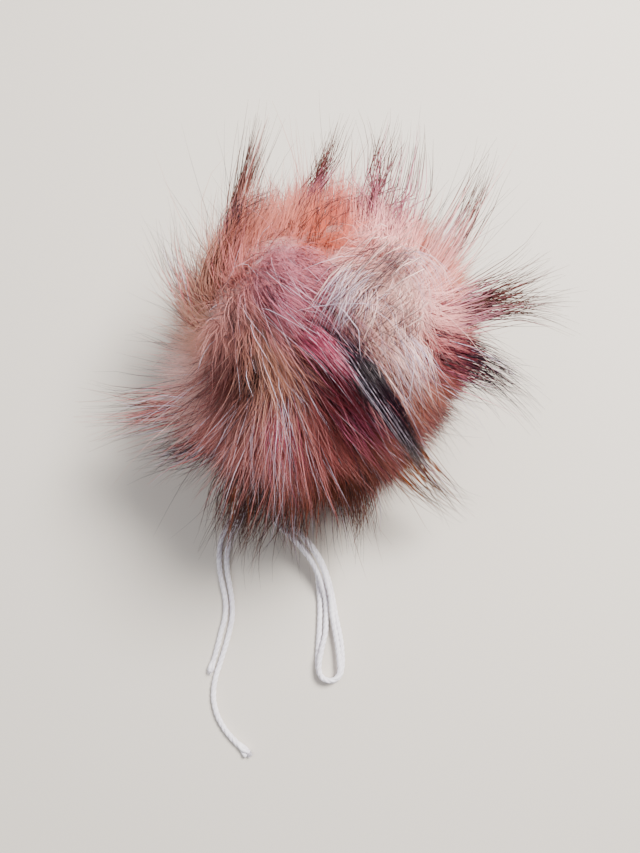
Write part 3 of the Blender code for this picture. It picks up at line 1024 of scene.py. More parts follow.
def swept(made: NodeShape) -> Value:
    """Sweeps a ring of even sides along a tree's lines, with caps and a bake map.

    Each line carries its thickness, and a cell: where it starts on the map, and how
    wide it is there. The last side meets the first at a seam, and a cap bulges out
    past its end of the cell.

    Args:
        made: the tree, with inputs named Sides and Bulge.

    Returns:
        The swept mesh.
    """
    nodes = made.nodes
    sides = made.size("Sides")
    lines = nodes.value("GeometryNodeMeshToCurve", sockets={"Mesh": made.size("Geometry")})
    ring = nodes.value(
        "GeometryNodeCurvePrimitiveCircle", {"mode": "RADIUS"}, {"Resolution": sides, "Radius": 1.0}
    )
    ring = nodes.stored(ring, "side", nodes.value("GeometryNodeInputIndex") / sides, "FLOAT", "POINT")
    fibres = nodes.value(
        "GeometryNodeCurveToMesh",
        sockets={"Curve": lines, "Profile Curve": ring, "Scale": nodes.named("thick"), "Fill Caps": True},
    )
    side, along = nodes.named("side"), nodes.named("along")
    # A corner at the ring's start is on the last side, unless its face is the first one.
    seam = nodes.on_faces(side).above(0.75 / sides) * (1.0 - side.above(0.5 / sides))
    # All corners of a cap have the same share along the fibre.
    cap = 1.0 - nodes.on_faces(along).apart(along).above(CAP_LIMIT)
    cell = nodes.node("ShaderNodeSeparateXYZ", sockets={0: nodes.named("cell", "FLOAT_VECTOR")})
    left, up, wide = (Value(nodes, cell.outputs[axis]) for axis in range(3))
    bulge = cap * (side * math.pi).sine() * (along - 0.5) * made.size("Bulge")
    spot = nodes.value("ShaderNodeCombineXYZ", sockets={"X": left + (side + seam) * wide, "Y": up + bulge})
    mapped = nodes.stored(fibres, BAKE_MAP, spot, "FLOAT2", "CORNER")
    return nodes.value("GeometryNodeSetShadeSmooth", sockets={"Geometry": mapped})


@dataclass
class HairShape:
    """Sweeps three-sided fibres along many middle lines at once.

    Each fibre has a cell of its own on the bake map. Margins and widths are shares of it.
    """

    sides: int = 3
    slimness: float = 3.0  # columns of cells for each row
    side_margin: float = 0.1
    side_width: float = 0.8
    end_margin: float = 0.05
    end_width: float = 0.9
    bulge: float = 0.08
    made: NodeShape = field(init=False)

    def __post_init__(self) -> None:
        """Builds the tree of Geometry Nodes."""
        self.made = fibre_tree("hair", self.sides)
        self.made.finish(swept(self.made))

    def piece(
        self, name: str, hairs: Hairs, finish: bpy.types.Material, middle: np.ndarray, softness: float
    ) -> bpy.types.Object:
        """Makes one piece of hair.

        Args:
            name: the piece's name.
            hairs: the hairs in it.
            finish: their material.
            middle: the ball's middle, in millimetres.
            softness: how far the shading follows the ball instead of each fibre.

        Returns:
            The piece.
        """
        count, points, _ = hairs.lines.shape
        start = np.arange(count * points).reshape(count, points)
        edges = np.stack((start[:, :-1], start[:, 1:]), axis=-1).reshape(-1, 2)
        data = mesh_from(f"{name}_lines", hairs.lines.reshape(-1, 3) * MM, edges=edges)
        along = np.tile(np.linspace(0.0, 1.0, points), count)
        across = int(math.ceil(math.sqrt(count * self.slimness)))
        rows = int(math.ceil(count / across))
        order = np.arange(count)
        left = np.repeat((order % across + self.side_margin) / across, points)
        up = np.repeat((order // across + self.end_margin) / rows, points) + along * self.end_width / rows
        set_vectors(data, "cell", np.column_stack((left, up, np.full(len(up), self.side_width / across))))
        set_floats(data, "along", along)
        set_floats(data, "thick", hairs.radii.ravel() * MM)
        set_floats(data, "turns", np.repeat(hairs.turns, points))
        set_colours(data, "dye", np.repeat(hairs.body, points, axis=0))
        set_colours(data, "tips", np.repeat(hairs.tips, points, axis=0))
        sizes = {"Sides": self.sides, "Bulge": self.bulge / rows, "Material": finish}
        made = self.made.shape(name, data, sizes)
        soften(made.data, middle * MM, softness)
        return made


@dataclass(frozen=True)
class Tuft:
    """A marked lock of hair that follows its own middle line, in millimetres."""

    name: str
    route: tuple[tuple[float, float, float], ...]
    count: int
    width: float  # spread of the roots
    fan: float  # spread of the tips
    body: Dye
    tips: Dye
    dark: float = 1.0  # share of hairs that end in the tips' dye
    # pale hairs: partly real pale strands, partly painted highlight in place of glints
    pale: float = 0.0  # share of hairs that are pale and glossy
    turns: float = 0.05  # how far along the tips' dye begins
    thick: float = 0.10
    wave: float = 0.8
    belly: float = 0.0  # extra spread half way along
    on_top: bool = False  # whether other hair passes under it


TUFTS = (
    # painted highlight: the black lock's pale share paints lavender glints along it
    Tuft(
        "black_lock",
        ((-6.6, -7.0, 86.1), (-2.8, -12.4, 90.3), (1.9, -19.8, 90.7), (7.4, -27.1, 86.8),
         (13.2, -34.1, 80.5), (20.4, -41.9, 68.5)),
        count=380, width=1.8, fan=1.1, body=Dye.BLACK, tips=Dye.BLACK, dark=0.93, pale=0.16, thick=0.13,
        wave=0.6, belly=0.5, on_top=True,
    ),
    # partly lock hair, partly painted shadow: wine-red roots under the black lock, wider than it, stand for
    # the shade it casts
    Tuft(
        "lock_below",
        ((-6.6, -6.6, 84.7), (-2.7, -11.6, 87.6), (2.1, -18.9, 87.4), (7.7, -26.3, 83.1),
         (13.7, -33.5, 76.6), (20.8, -41.7, 66.1)),
        count=140, width=2.0, fan=1.6, body=Dye.WINE, tips=Dye.BLACK, turns=0.0, thick=0.14, wave=0.5,
        belly=0.7,
    ),
    Tuft(
        "lock_head",
        ((3.0, 8.0, 84.0), (2.4, -1.0, 91.0), (-0.4, -8.4, 93.0), (-5.4, -16.8, 91.5)),
        count=36, width=6.5, fan=6.0, body=Dye.CREAM, tips=Dye.BLACK, turns=0.36, thick=0.18, wave=0.6,
    ),
    Tuft(
        "dome_cross",
        ((19.7, 26.4, 69.2), (12.1, 13.4, 88.7), (2.5, 0.4, 95.0), (-5.9, -9.1, 93.3)),
        count=58, width=9.0, fan=8.0, body=Dye.CREAM, tips=Dye.BLACK, turns=0.22, thick=0.18, wave=0.5,
    ),
    Tuft(
        "dome_cross_low",
        ((22.2, 8.7, 76.3), (14.4, -3.2, 88.4), (7.4, -10.3, 92.1), (-0.5, -15.7, 91.7)),
        count=38, width=8.0, fan=8.0, body=Dye.CREAM, tips=Dye.BLACK, turns=0.22, thick=0.17, wave=0.5,
    ),
    Tuft(
        "dome_glints",
        ((7.5, 13.1, 83.0), (0.2, 2.7, 92.1), (-4.8, -6.5, 93.9), (-8.0, -12.7, 91.6)),
        count=70, width=7.5, fan=7.0, body=Dye.CREAM, tips=Dye.LAVENDER, dark=0.6, pale=0.3, turns=0.3,
        thick=0.13,
    ),
    Tuft(
        "dome_ridge",
        ((11.9, 21.7, 75.6), (17.3, 15.0, 79.8), (21.4, 6.5, 79.7), (23.2, -2.9, 79.0)),
        count=60, width=8.0, fan=8.0, body=Dye.CREAM, tips=Dye.CREAM, dark=0.0, pale=0.3, turns=0.3,
        thick=0.11,
    ),
    Tuft(
        "cream_fall",
        ((13.2, -5.8, 82.8), (14.6, -13.8, 84.6), (16.4, -21.0, 81.4), (19.0, -27.4, 75.0)),
        count=110, width=7.5, fan=6.0, body=Dye.CREAM, tips=Dye.CREAM, dark=0.3, pale=0.4, turns=0.35,
        thick=0.12,
    ),
    Tuft(
        "brown_fall",
        ((7.4, -7.6, 83.3), (8.2, -15.9, 84.1), (9.9, -22.8, 82.2), (11.9, -27.5, 78.8)),
        count=60, width=4.0, fan=4.0, body=Dye.SIENNA, tips=Dye.BROWN, dark=0.9, pale=0.05, turns=0.2,
        thick=0.11,
    ),
    Tuft(
        "magenta_streak",
        ((-15.4, -5.6, 85.6), (-8.7, -13.1, 89.6), (-2.4, -20.2, 88.6), (2.8, -26.2, 85.0)),
        count=90, width=3.6, fan=4.5, body=Dye.MAGENTA, tips=Dye.PLUM, dark=0.4, pale=0.08, turns=0.4,
        thick=0.12,
    ),
    Tuft(
        "magenta_low",
        ((-4.3, -24.7, 78.3), (0.7, -31.1, 77.8), (6.2, -36.6, 73.8), (12.3, -42.6, 66.3)),
        count=60, width=7.0, fan=8.0, body=Dye.MAGENTA, tips=Dye.ROSE, dark=0.5, pale=0.10, turns=0.4,
    ),
    Tuft(
        "west_curls",
        ((-36.4, -4.1, 70.7), (-31.3, -1.9, 79.5), (-26.0, -0.4, 84.3), (-22.2, -3.8, 86.3)),
        count=40, width=8.0, fan=9.0, body=Dye.BROWN, tips=Dye.BLACK, turns=0.1, thick=0.09, wave=3.0,
    ),
    Tuft(
        "valley_dark",
        ((-15.0, 23.0, 76.6), (-8.8, 31.6, 74.6), (0.6, 37.6, 70.4), (9.3, 38.4, 69.9)),
        count=30, width=9.0, fan=8.0, body=Dye.BROWN, tips=Dye.BLACK, turns=0.1, wave=1.5,
    ),
    Tuft(
        "crown_dark",
        ((-24.4, 18.3, 76.5), (-21.4, 6.1, 84.8), (-17.0, -2.1, 88.0), (-11.3, -8.5, 90.0)),
        count=20, width=9.0, fan=9.0, body=Dye.BROWN, tips=Dye.BLACK, turns=0.1, thick=0.08, wave=1.5,
    ),
    Tuft(
        "whorl_dark",
        ((-29.7, -15.2, 73.3), (-31.4, -23.3, 71.6), (-34.0, -31.1, 65.4), (-37.8, -39.7, 55.8)),
        count=60, width=7.0, fan=8.0, body=Dye.BROWN, tips=Dye.BROWN, dark=0.9, turns=0.2, wave=2.0,
    ),
    Tuft(
        "whorl_rose",
        ((-24.1, -22.0, 73.4), (-21.3, -32.3, 72.3), (-18.9, -41.4, 66.0), (-16.2, -52.2, 60.3)),
        count=90, width=6.0, fan=7.0, body=Dye.MAGENTA, tips=Dye.BLUSH, dark=0.6, pale=0.1, turns=0.4,
        thick=0.11, wave=1.3,
    ),
    Tuft(
        "north_west_rose",
        ((-34.1, 4.5, 72.8), (-33.2, 15.7, 73.0), (-29.8, 26.7, 72.4), (-23.0, 32.7, 75.4)),
        count=70, width=7.0, fan=7.0, body=Dye.ROSE, tips=Dye.BROWN, dark=0.8, turns=0.3, wave=2.0,
    ),
    Tuft(
        "north_west",
        ((-42.8, 23.1, 52.0), (-37.5, 34.3, 58.0), (-32.8, 45.2, 60.0), (-29.6, 56.1, 60.0),
         (-26.9, 70.6, 57.0)),
        count=110, width=4.0, fan=9.0, body=Dye.DUSTY, tips=Dye.BROWN, dark=0.95, turns=0.10, thick=0.24,
        wave=0.5,
    ),
    Tuft(
        "north_west_side",
        ((-42.0, 26.4, 52.0), (-37.8, 33.3, 60.0), (-29.8, 36.6, 66.0), (-20.1, 38.1, 68.0)),
        count=60, width=4.4, fan=5.0, body=Dye.MAUVE, tips=Dye.BLACK, dark=0.8, turns=0.15, thick=0.20,
        wave=0.6,
    ),
    Tuft(
        "west_shoulder",
        ((-45.2, 3.2, 58.0), (-41.2, 14.3, 62.0), (-34.3, 24.5, 66.0), (-23.0, 33.1, 69.0)),
        count=110, width=9.0, fan=8.0, body=Dye.SIENNA, tips=Dye.BROWN, dark=0.95, thick=0.18,
    ),
    Tuft(
        "north",
        ((-15.1, 41.9, 58.0), (-10.1, 45.7, 66.0), (-6.2, 52.0, 67.0), (-2.4, 66.8, 63.0)),
        count=60, width=4.2, fan=7.0, body=Dye.MAUVE, tips=Dye.BROWN, dark=0.9, turns=0.10, thick=0.22,
        wave=0.5,
    ),
    Tuft(
        "north_middle",
        ((7.7, 40.8, 62.0), (9.0, 43.9, 68.0), (10.2, 50.4, 69.0), (11.6, 63.0, 66.0)),
        count=50, width=7.0, fan=8.0, body=Dye.MAUVE, tips=Dye.BROWN, dark=0.9, turns=0.10, thick=0.20,
        wave=0.5,
    ),
    Tuft(
        "north_thin",
        ((16.2, 38.8, 62.0), (17.6, 43.1, 66.0), (19.0, 51.6, 66.0), (21.2, 67.1, 62.0)),
        count=36, width=8.0, fan=9.0, body=Dye.MAUVE, tips=Dye.BROWN, dark=0.9, turns=0.10, thick=0.20,
        wave=0.5,
    ),
    Tuft(
        "north_east",
        ((29.5, 17.5, 62.0), (34.2, 29.7, 62.0), (38.8, 41.9, 60.0), (46.6, 62.1, 55.0)),
        count=64, width=9.0, fan=10.0, body=Dye.BLUSH, tips=Dye.BROWN, dark=0.9, turns=0.15, thick=0.22,
        wave=0.5,
    ),
    Tuft(
        "east",
        ((31.8, 3.5, 66.0), (43.0, 10.0, 60.0), (53.9, 16.5, 55.0), (68.1, 26.1, 49.0)),
        count=80, width=5.5, fan=10.0, body=Dye.MAUVE, tips=Dye.BROWN, dark=0.95, thick=0.21, wave=0.6,
    ),
    Tuft(
        "east_beside",
        ((33.4, 3.0, 64.0), (44.6, 8.2, 58.0), (56.1, 10.7, 53.0), (71.6, 11.3, 47.0)),
        count=60, width=5.5, fan=11.0, body=Dye.MAUVE, tips=Dye.BROWN, dark=0.95, thick=0.19, wave=0.6,
    ),
    Tuft(
        "east_low",
        ((24.4, -5.4, 73.0), (32.1, -7.9, 68.0), (45.5, -10.6, 56.0), (63.2, -16.9, 42.0)),
        count=110, width=6.0, fan=11.0, body=Dye.PLUM, tips=Dye.BLACK, dark=0.85, pale=0.05, turns=0.0,
        thick=0.16, wave=0.7,
    ),
    Tuft(
        "east_lower",
        ((27.5, -9.1, 68.0), (35.0, -12.2, 62.0), (45.2, -15.3, 52.0), (55.5, -17.3, 44.0)),
        count=80, width=6.0, fan=10.0, body=Dye.MAGENTA, tips=Dye.BLACK, dark=0.75, pale=0.08, thick=0.15,
        wave=0.7,
    ),
    Tuft(
        "west_low",
        ((-43.5, -19.0, 46.0), (-54.6, -21.8, 47.0), (-67.0, -23.5, 44.0), (-84.6, -25.3, 38.0)),
        count=110, width=7.0, fan=12.0, body=Dye.ROSE, tips=Dye.BROWN, dark=0.6, pale=0.10, turns=0.15,
        thick=0.17, wave=0.6,
    ),
    Tuft(
        "south_west",
        ((-39.7, -27.6, 41.0), (-50.6, -33.5, 40.0), (-58.6, -34.9, 36.0), (-68.0, -36.6, 30.0)),
        count=100, width=7.0, fan=10.0, body=Dye.ROSE, tips=Dye.BLACK, dark=0.8, pale=0.10, turns=0.10,
        thick=0.18, wave=0.6,
    ),
    Tuft(
        "west_rise",
        ((-47.8, 5.3, 46.0), (-52.0, 14.7, 52.0), (-56.6, 25.8, 52.0), (-61.4, 40.8, 48.0)),
        count=60, width=9.0, fan=12.0, body=Dye.ROSE, tips=Dye.BROWN, dark=0.8, pale=0.1, turns=0.20,
        thick=0.15, wave=0.6,
    ),
    Tuft(
        "south",
        ((-31.2, -40.0, 36.0), (-33.8, -49.6, 31.0), (-37.0, -57.7, 22.0), (-40.2, -66.1, 11.0)),
        count=210, width=12.0, fan=14.0, body=Dye.UMBER, tips=Dye.BROWN, dark=0.9, pale=0.03, turns=0.0,
        thick=0.20,
    ),
    Tuft(
        "south_beside",
        ((-19.6, -41.1, 36.0), (-19.5, -50.6, 30.0), (-18.5, -59.4, 21.0), (-16.8, -67.8, 11.0)),
        count=110, width=10.0, fan=12.0, body=Dye.UMBER, tips=Dye.BROWN, dark=0.8, pale=0.05, thick=0.19,
    ),
    Tuft(
        "south_middle",
        ((-0.1, -40.2, 36.0), (2.4, -47.9, 30.0), (4.8, -55.3, 21.0), (6.7, -62.9, 11.0)),
        count=90, width=10.0, fan=10.0, body=Dye.UMBER, tips=Dye.BROWN, dark=0.8, pale=0.05, turns=0.15,
        thick=0.19,
    ),
    Tuft(
        "south_east",
        ((19.2, -35.8, 38.0), (25.2, -42.0, 34.0), (32.2, -46.7, 27.0), (41.6, -52.4, 17.0)),
        count=80, width=8.0, fan=9.0, body=Dye.UMBER, tips=Dye.BROWN, dark=0.8, pale=0.04, turns=0.15,
        thick=0.18,
    ),
    Tuft(
        "whorl_west_glints",
        ((-28.5, -20.7, 72.6), (-32.7, -28.9, 69.0), (-39.3, -35.9, 57.9), (-47.7, -40.8, 43.5)),
        count=24, width=7.0, fan=8.0, body=Dye.DUSTY, tips=Dye.LAVENDER, pale=0.3, turns=0.5, wave=1.3,
    ),
    Tuft(
        "whorl_south_glints",
        ((-25.1, -22.8, 73.5), (-24.6, -32.2, 72.0), (-25.7, -41.8, 64.7), (-27.3, -53.6, 51.7)),
        count=36, width=9.0, fan=12.0, body=Dye.DUSTY, tips=Dye.LAVENDER, pale=0.3, turns=0.5, wave=1.3,
    ),
    Tuft(
        "bundle",
        ((-24.3, 5.8, 81.4), (-18.5, -0.9, 87.2), (-13.3, -6.4, 89.1), (-7.8, -11.6, 88.9)),
        count=70, width=5.0, fan=5.0, body=Dye.MAUVE, tips=Dye.MAGENTA, dark=0.6, pale=0.12, turns=0.35,
        thick=0.11,
    ),
)


@dataclass(frozen=True)
class Coat:
    """One layer of the pile. Lengths and thicknesses are in millimetres."""

    name: str
    count: int
    points: int
    pieces: int
    added: float  # length that every hair has
    share: tuple[float, float]  # shortest and longest share of the nap's length on top
    skew: float  # above 1, most hairs are short ones
    thick: tuple[float, float]
    stand: float  # how much steeper it stands than the nap
    wander: float  # how far each hair strays from the nap
    gather: float  # how much it draws together in locks
    wave: float
    mottle: float  # how much hairs differ in shade
    softness: float
    dark: float  # scale of the tint's share of dark tips
    pale: float
    guard: float  # 1 where it grows by the tint's guard share, 0 where it grows all over
    seed: int


COATS = (
    Coat(
        "wool",
        count=21000, points=4, pieces=3, added=9.0, share=(0.10, 0.32), skew=1.0, thick=(0.10, 0.15),
        stand=0.08, wander=0.17, gather=0.60, wave=0.9, mottle=0.06, softness=0.60, dark=0.0, pale=0.0,
        guard=0.0, seed=12,
    ),
    Coat(
        "guard_hair",
        count=9500, points=6, pieces=2, added=0.0, share=(0.34, 1.0), skew=1.9, thick=(0.065, 0.100),
        stand=0.0, wander=0.13, gather=0.62, wave=0.8, mottle=0.10, softness=0.25, dark=1.05, pale=0.55,
        guard=1.0, seed=11,
    ),
    Coat(
        "stray_hair",
        count=520, points=6, pieces=1, added=4.0, share=(0.55, 1.1), skew=1.4, thick=(0.08, 0.11),
        stand=0.12, wander=0.30, gather=0.0, wave=1.6, mottle=0.10, softness=0.35, dark=3.0, pale=0.1,
        guard=0.0, seed=13,
    ),
)


@dataclass(frozen=True)
class HairForm:
    """The form that all hair shares, in millimetres."""

    root_share: float = 0.7  # thickness at the root, as a share of the greatest
    root_swell: float = 1.2
    tip_share: float = 0.12
    wave_starts: tuple[float, float] = (0.0, 6.28)
    wave_rates: tuple[float, float] = (2.0, 7.0)
    wave_drift: float = 0.6
    floor_gap: float = 0.3
    floor_layer: float = 2.2
    floor_root: float = 0.3  # share of the layer that roots may lie in
    bends_above: float = 97.0
    bends_within: float = 12.0

    def radii(self, points: int, thick: np.ndarray, taper: float) -> np.ndarray:
        """Each hair's thickness along it: slim at the root, fine at the tip.

        Args:
            points: how many points each hair has.
            thick: each hair's greatest thickness.
            taper: a higher number thins it later.

        Returns:
            One row for each hair.
        """
        share = np.linspace(0.0, 1.0, points)
        root = np.minimum(self.root_share + self.root_swell * share, 1.0)
        return thick[:, None] * (root * np.maximum(1.0 - share**taper, self.tip_share))

    def waved(self, lines: np.ndarray, chance: np.random.Generator, size: float) -> np.ndarray:
        """Bends hairs a little to and fro, more towards their tips.

        Args:
            lines: the hairs' middle lines.
            chance: where random numbers come from.
            size: about how far a tip is moved.

        Returns:
            The bent lines.
        """
        count, points, _ = lines.shape
        share = np.linspace(0.0, 1.0, points)[None, :, None]
        sides = chance.normal(size=(2, count, 1, 3))
        phase = chance.uniform(*self.wave_starts, (count, 1, 1))
        rate = chance.uniform(*self.wave_rates, (count, 1, 1))
        swing = np.sin(rate * share + phase) - np.sin(phase)
        return lines + size * share * (swing * sides[0] + self.wave_drift * share * sides[1])

    def settled(self, lines: np.ndarray, chance: np.random.Generator) -> np.ndarray:
        """Keeps hair above the floor, where it lies in a thin layer, and bends tall hair over.

        Args:
            lines: the hairs' middle lines.
            chance: where random numbers come from.

        Returns:
            The settled lines.
        """
        within = np.linspace(self.floor_root, 1.0, lines.shape[1])
        floor = self.floor_gap + self.floor_layer * chance.random((len(lines), 1)) ** 2 * within
        over = np.maximum(lines[..., 2] - self.bends_above, 0.0)
        settled = lines.copy()
        settled[..., 2] = np.maximum(lines[..., 2] - over + over / (1.0 + over / self.bends_within), floor)
        return settled


class Dyed(NamedTuple):
    """The dyes of many hairs."""

    body: np.ndarray
    tips: np.ndarray
    turns: np.ndarray  # how far along each hair its tip's dye begins
    is_pale: np.ndarray


@dataclass(frozen=True)
class Dyeing:
    """How single hairs take the dyes of their place. Its numbers are shares."""

    dark_sway: float = 0.7  # how much clumps differ in their share of dark tips
    dark_most: float = 0.95
    clump_shade: float = 0.06
    shades: tuple[float, float] = (0.5, 1.5)
    tip_blend: float = 0.5
    # painted shade: the wool under long hair is darkened, more in green and blue than in red
    shaded_from: float = 0.25  # share of long hair from which the wool below is shaded
    shaded_most: float = 0.6
    shaded_by: tuple[float, float, float] = (0.28, 0.46, 0.52)
    wool_tip: float = 1.08
    pale_own: float = 0.3
    pale_dye: float = 0.7
    pale_tip: float = 1.05
    black_tips: float = 0.7
    dark_body: float = 0.55
    dark_turns: tuple[float, float] = (0.0, 0.45)
    plain_turns: tuple[float, float] = (0.3, 0.7)
    lock_mottle: float = 0.18
    lock_pale: float = 0.9
    lock_tip: float = 1.05
    lock_turns: tuple[float, float] = (0.0, 0.3)

    def coat(self, coat: Coat, tint: Colouring, mood: np.ndarray, chance: np.random.Generator) -> Dyed:
        """Dyes the hairs of one layer.

        Args:
            coat: the layer.
            tint: the pile's colours at each hair.
            mood: how each hair's clump differs from the rest.
            chance: where random numbers come from.

        Returns:
            Their dyes.
        """
        count = len(mood)
        kind = chance.random(count)
        darkness = tint.dark * coat.dark * (1.0 + self.dark_sway * mood[:, 0])
        is_dark = kind < np.clip(darkness, 0.0, self.dark_most)
        is_pale = (kind > 1.0 - tint.pale * coat.pale) & ~is_dark
        differ = coat.mottle * chance.normal(size=(count, 1)) + self.clump_shade * mood[:, 1:2]
        body = tint.body * (1.0 + differ).clip(*self.shades)
        if coat.dark:
            tips = (1.0 - self.tip_blend) * body + self.tip_blend * tint.tips
        else:
            # painted shade: wool made darker where long hair grows over it
            shaded = np.clip(tint.guard - self.shaded_from, 0.0, self.shaded_most)
            body = body * (1.0 - shaded[:, None] * np.array(self.shaded_by))
            tips = body * self.wool_tip
        # pale hairs turn lavender: real pale strands, and also painted highlight
        pale = Dye.LAVENDER.array()
        body = np.where(is_pale[:, None], self.pale_own * body + self.pale_dye * pale, body)
        tips = np.where(is_pale[:, None], pale * self.pale_tip, tips)
        is_black = chance.random((count, 1)) < self.black_tips
        tips = np.where(is_dark[:, None], np.where(is_black, Dye.BLACK.array(), Dye.BROWN.array()), tips)
        body = np.where(is_dark[:, None], self.dark_body * body, body)
        dark_turns = chance.uniform(*self.dark_turns, count)
        turns = np.where(is_dark, dark_turns, chance.uniform(*self.plain_turns, count))
        return Dyed(body, tips, turns, is_pale)

    def tuft(self, tuft: Tuft, chance: np.random.Generator) -> Dyed:
        """Dyes the hairs of one marked lock.

        Args:
            tuft: the lock.
            chance: where random numbers come from.

        Returns:
            Their dyes.
        """
        kind = chance.random(tuft.count)
        is_dark = kind < tuft.dark
        is_pale = kind > 1.0 - tuft.pale
        shade = (1.0 + self.lock_mottle * chance.normal(size=(tuft.count, 1))).clip(*self.shades)
        # pale hairs of a lock are lavender: real pale strands, and also painted highlight
        pale = Dye.LAVENDER.array() * self.lock_pale
        body = np.where(is_pale[:, None], pale, tuft.body.array() * shade)
        tips = np.where(is_dark[:, None], tuft.tips.array() * shade, body * self.lock_tip)
        turns = chance.uniform(*self.lock_turns, tuft.count) + tuft.turns
        return Dyed(body, tips, turns, is_pale)


@dataclass(frozen=True)
class LockForm:
    """How the hairs of a marked lock spread about its middle line."""

    points: int = 6
    taper: float = 1.3
    lengths: tuple[float, float] = (0.5, 1.06)
    length_power: float = 0.7
    wisp_hairs: int = 8
    fewest_wisps: int = 3
    wisp_pull: float = 0.7
    root_power: float = 1.2
    root_spread: float = 0.6
    least_spread: float = 0.11
    tip_power: float = 1.6
    tip_spread: float = 0.7
    flatness: float = 0.6
    rooted: int = 3  # how soon a hair leaves the ball for its place in the lock
    thickness: tuple[float, float] = (0.75, 1.15)

    def lines(self, tuft: Tuft, ball: Ball, chance: np.random.Generator) -> np.ndarray:
        """The middle lines of a lock's hairs, which start on the ball.

        Args:
            tuft: the lock.
            ball: the ball that it grows on.
            chance: where random numbers come from.

        Returns:
            An array of hairs, points and three numbers, in millimetres.
        """
        count = tuft.count
        route = smooth_line(tuft.route, LOCK_SPACING)
        longest = chance.uniform(*self.lengths, count) ** self.length_power
        stops = np.linspace(0.0, 1.0, self.points)[None, :] * longest[:, None]
        spots = np.clip(stops, 0.0, 1.0) * (len(route) - 1)
        order = np.arange(len(route))
        centre = np.stack([np.interp(spots, order, route[:, axis]) for axis in range(3)], -1)
        way = unit(np.gradient(route, axis=0))
        along = np.stack([np.interp(spots, order, way[:, axis]) for axis in range(3)], -1)
        centre = centre + along * (np.maximum(stops - 1.0, 0.0) * length_of(route))[..., None]
        side = unit(np.cross(along, unit(centre - ball.middle)))
        rise = np.cross(side, along)
        own = chance.normal(size=(2, count, 1, 1))
        wisp = chance.integers(0, max(count // self.wisp_hairs, self.fewest_wisps), count)
        shared = chance.normal(size=(2, count, 1, 1))[:, wisp]
        ends = self.wisp_pull * shared + (1.0 - self.wisp_pull) * own
        stops = stops[..., None]
        root = np.maximum(1.0 - stops, 0.0) ** self.root_power * tuft.width * self.root_spread
        root = root + self.least_spread * tuft.width
        root = root + tuft.belly * np.sin(math.pi * np.clip(stops, 0.0, 1.0))
        tip = stops**self.tip_power * tuft.fan * self.tip_spread
        across, up = (own[axis] * root + ends[axis] * tip for axis in range(2))
        lines = centre + side * across + rise * up * self.flatness
        starts = ball.surface(unit(lines[:, 0] - ball.middle))
        blend = (1.0 - np.linspace(0.0, 1.0, self.points)[None, :, None]) ** self.rooted
        return lines + blend * (starts[:, None] - lines[:, :1])


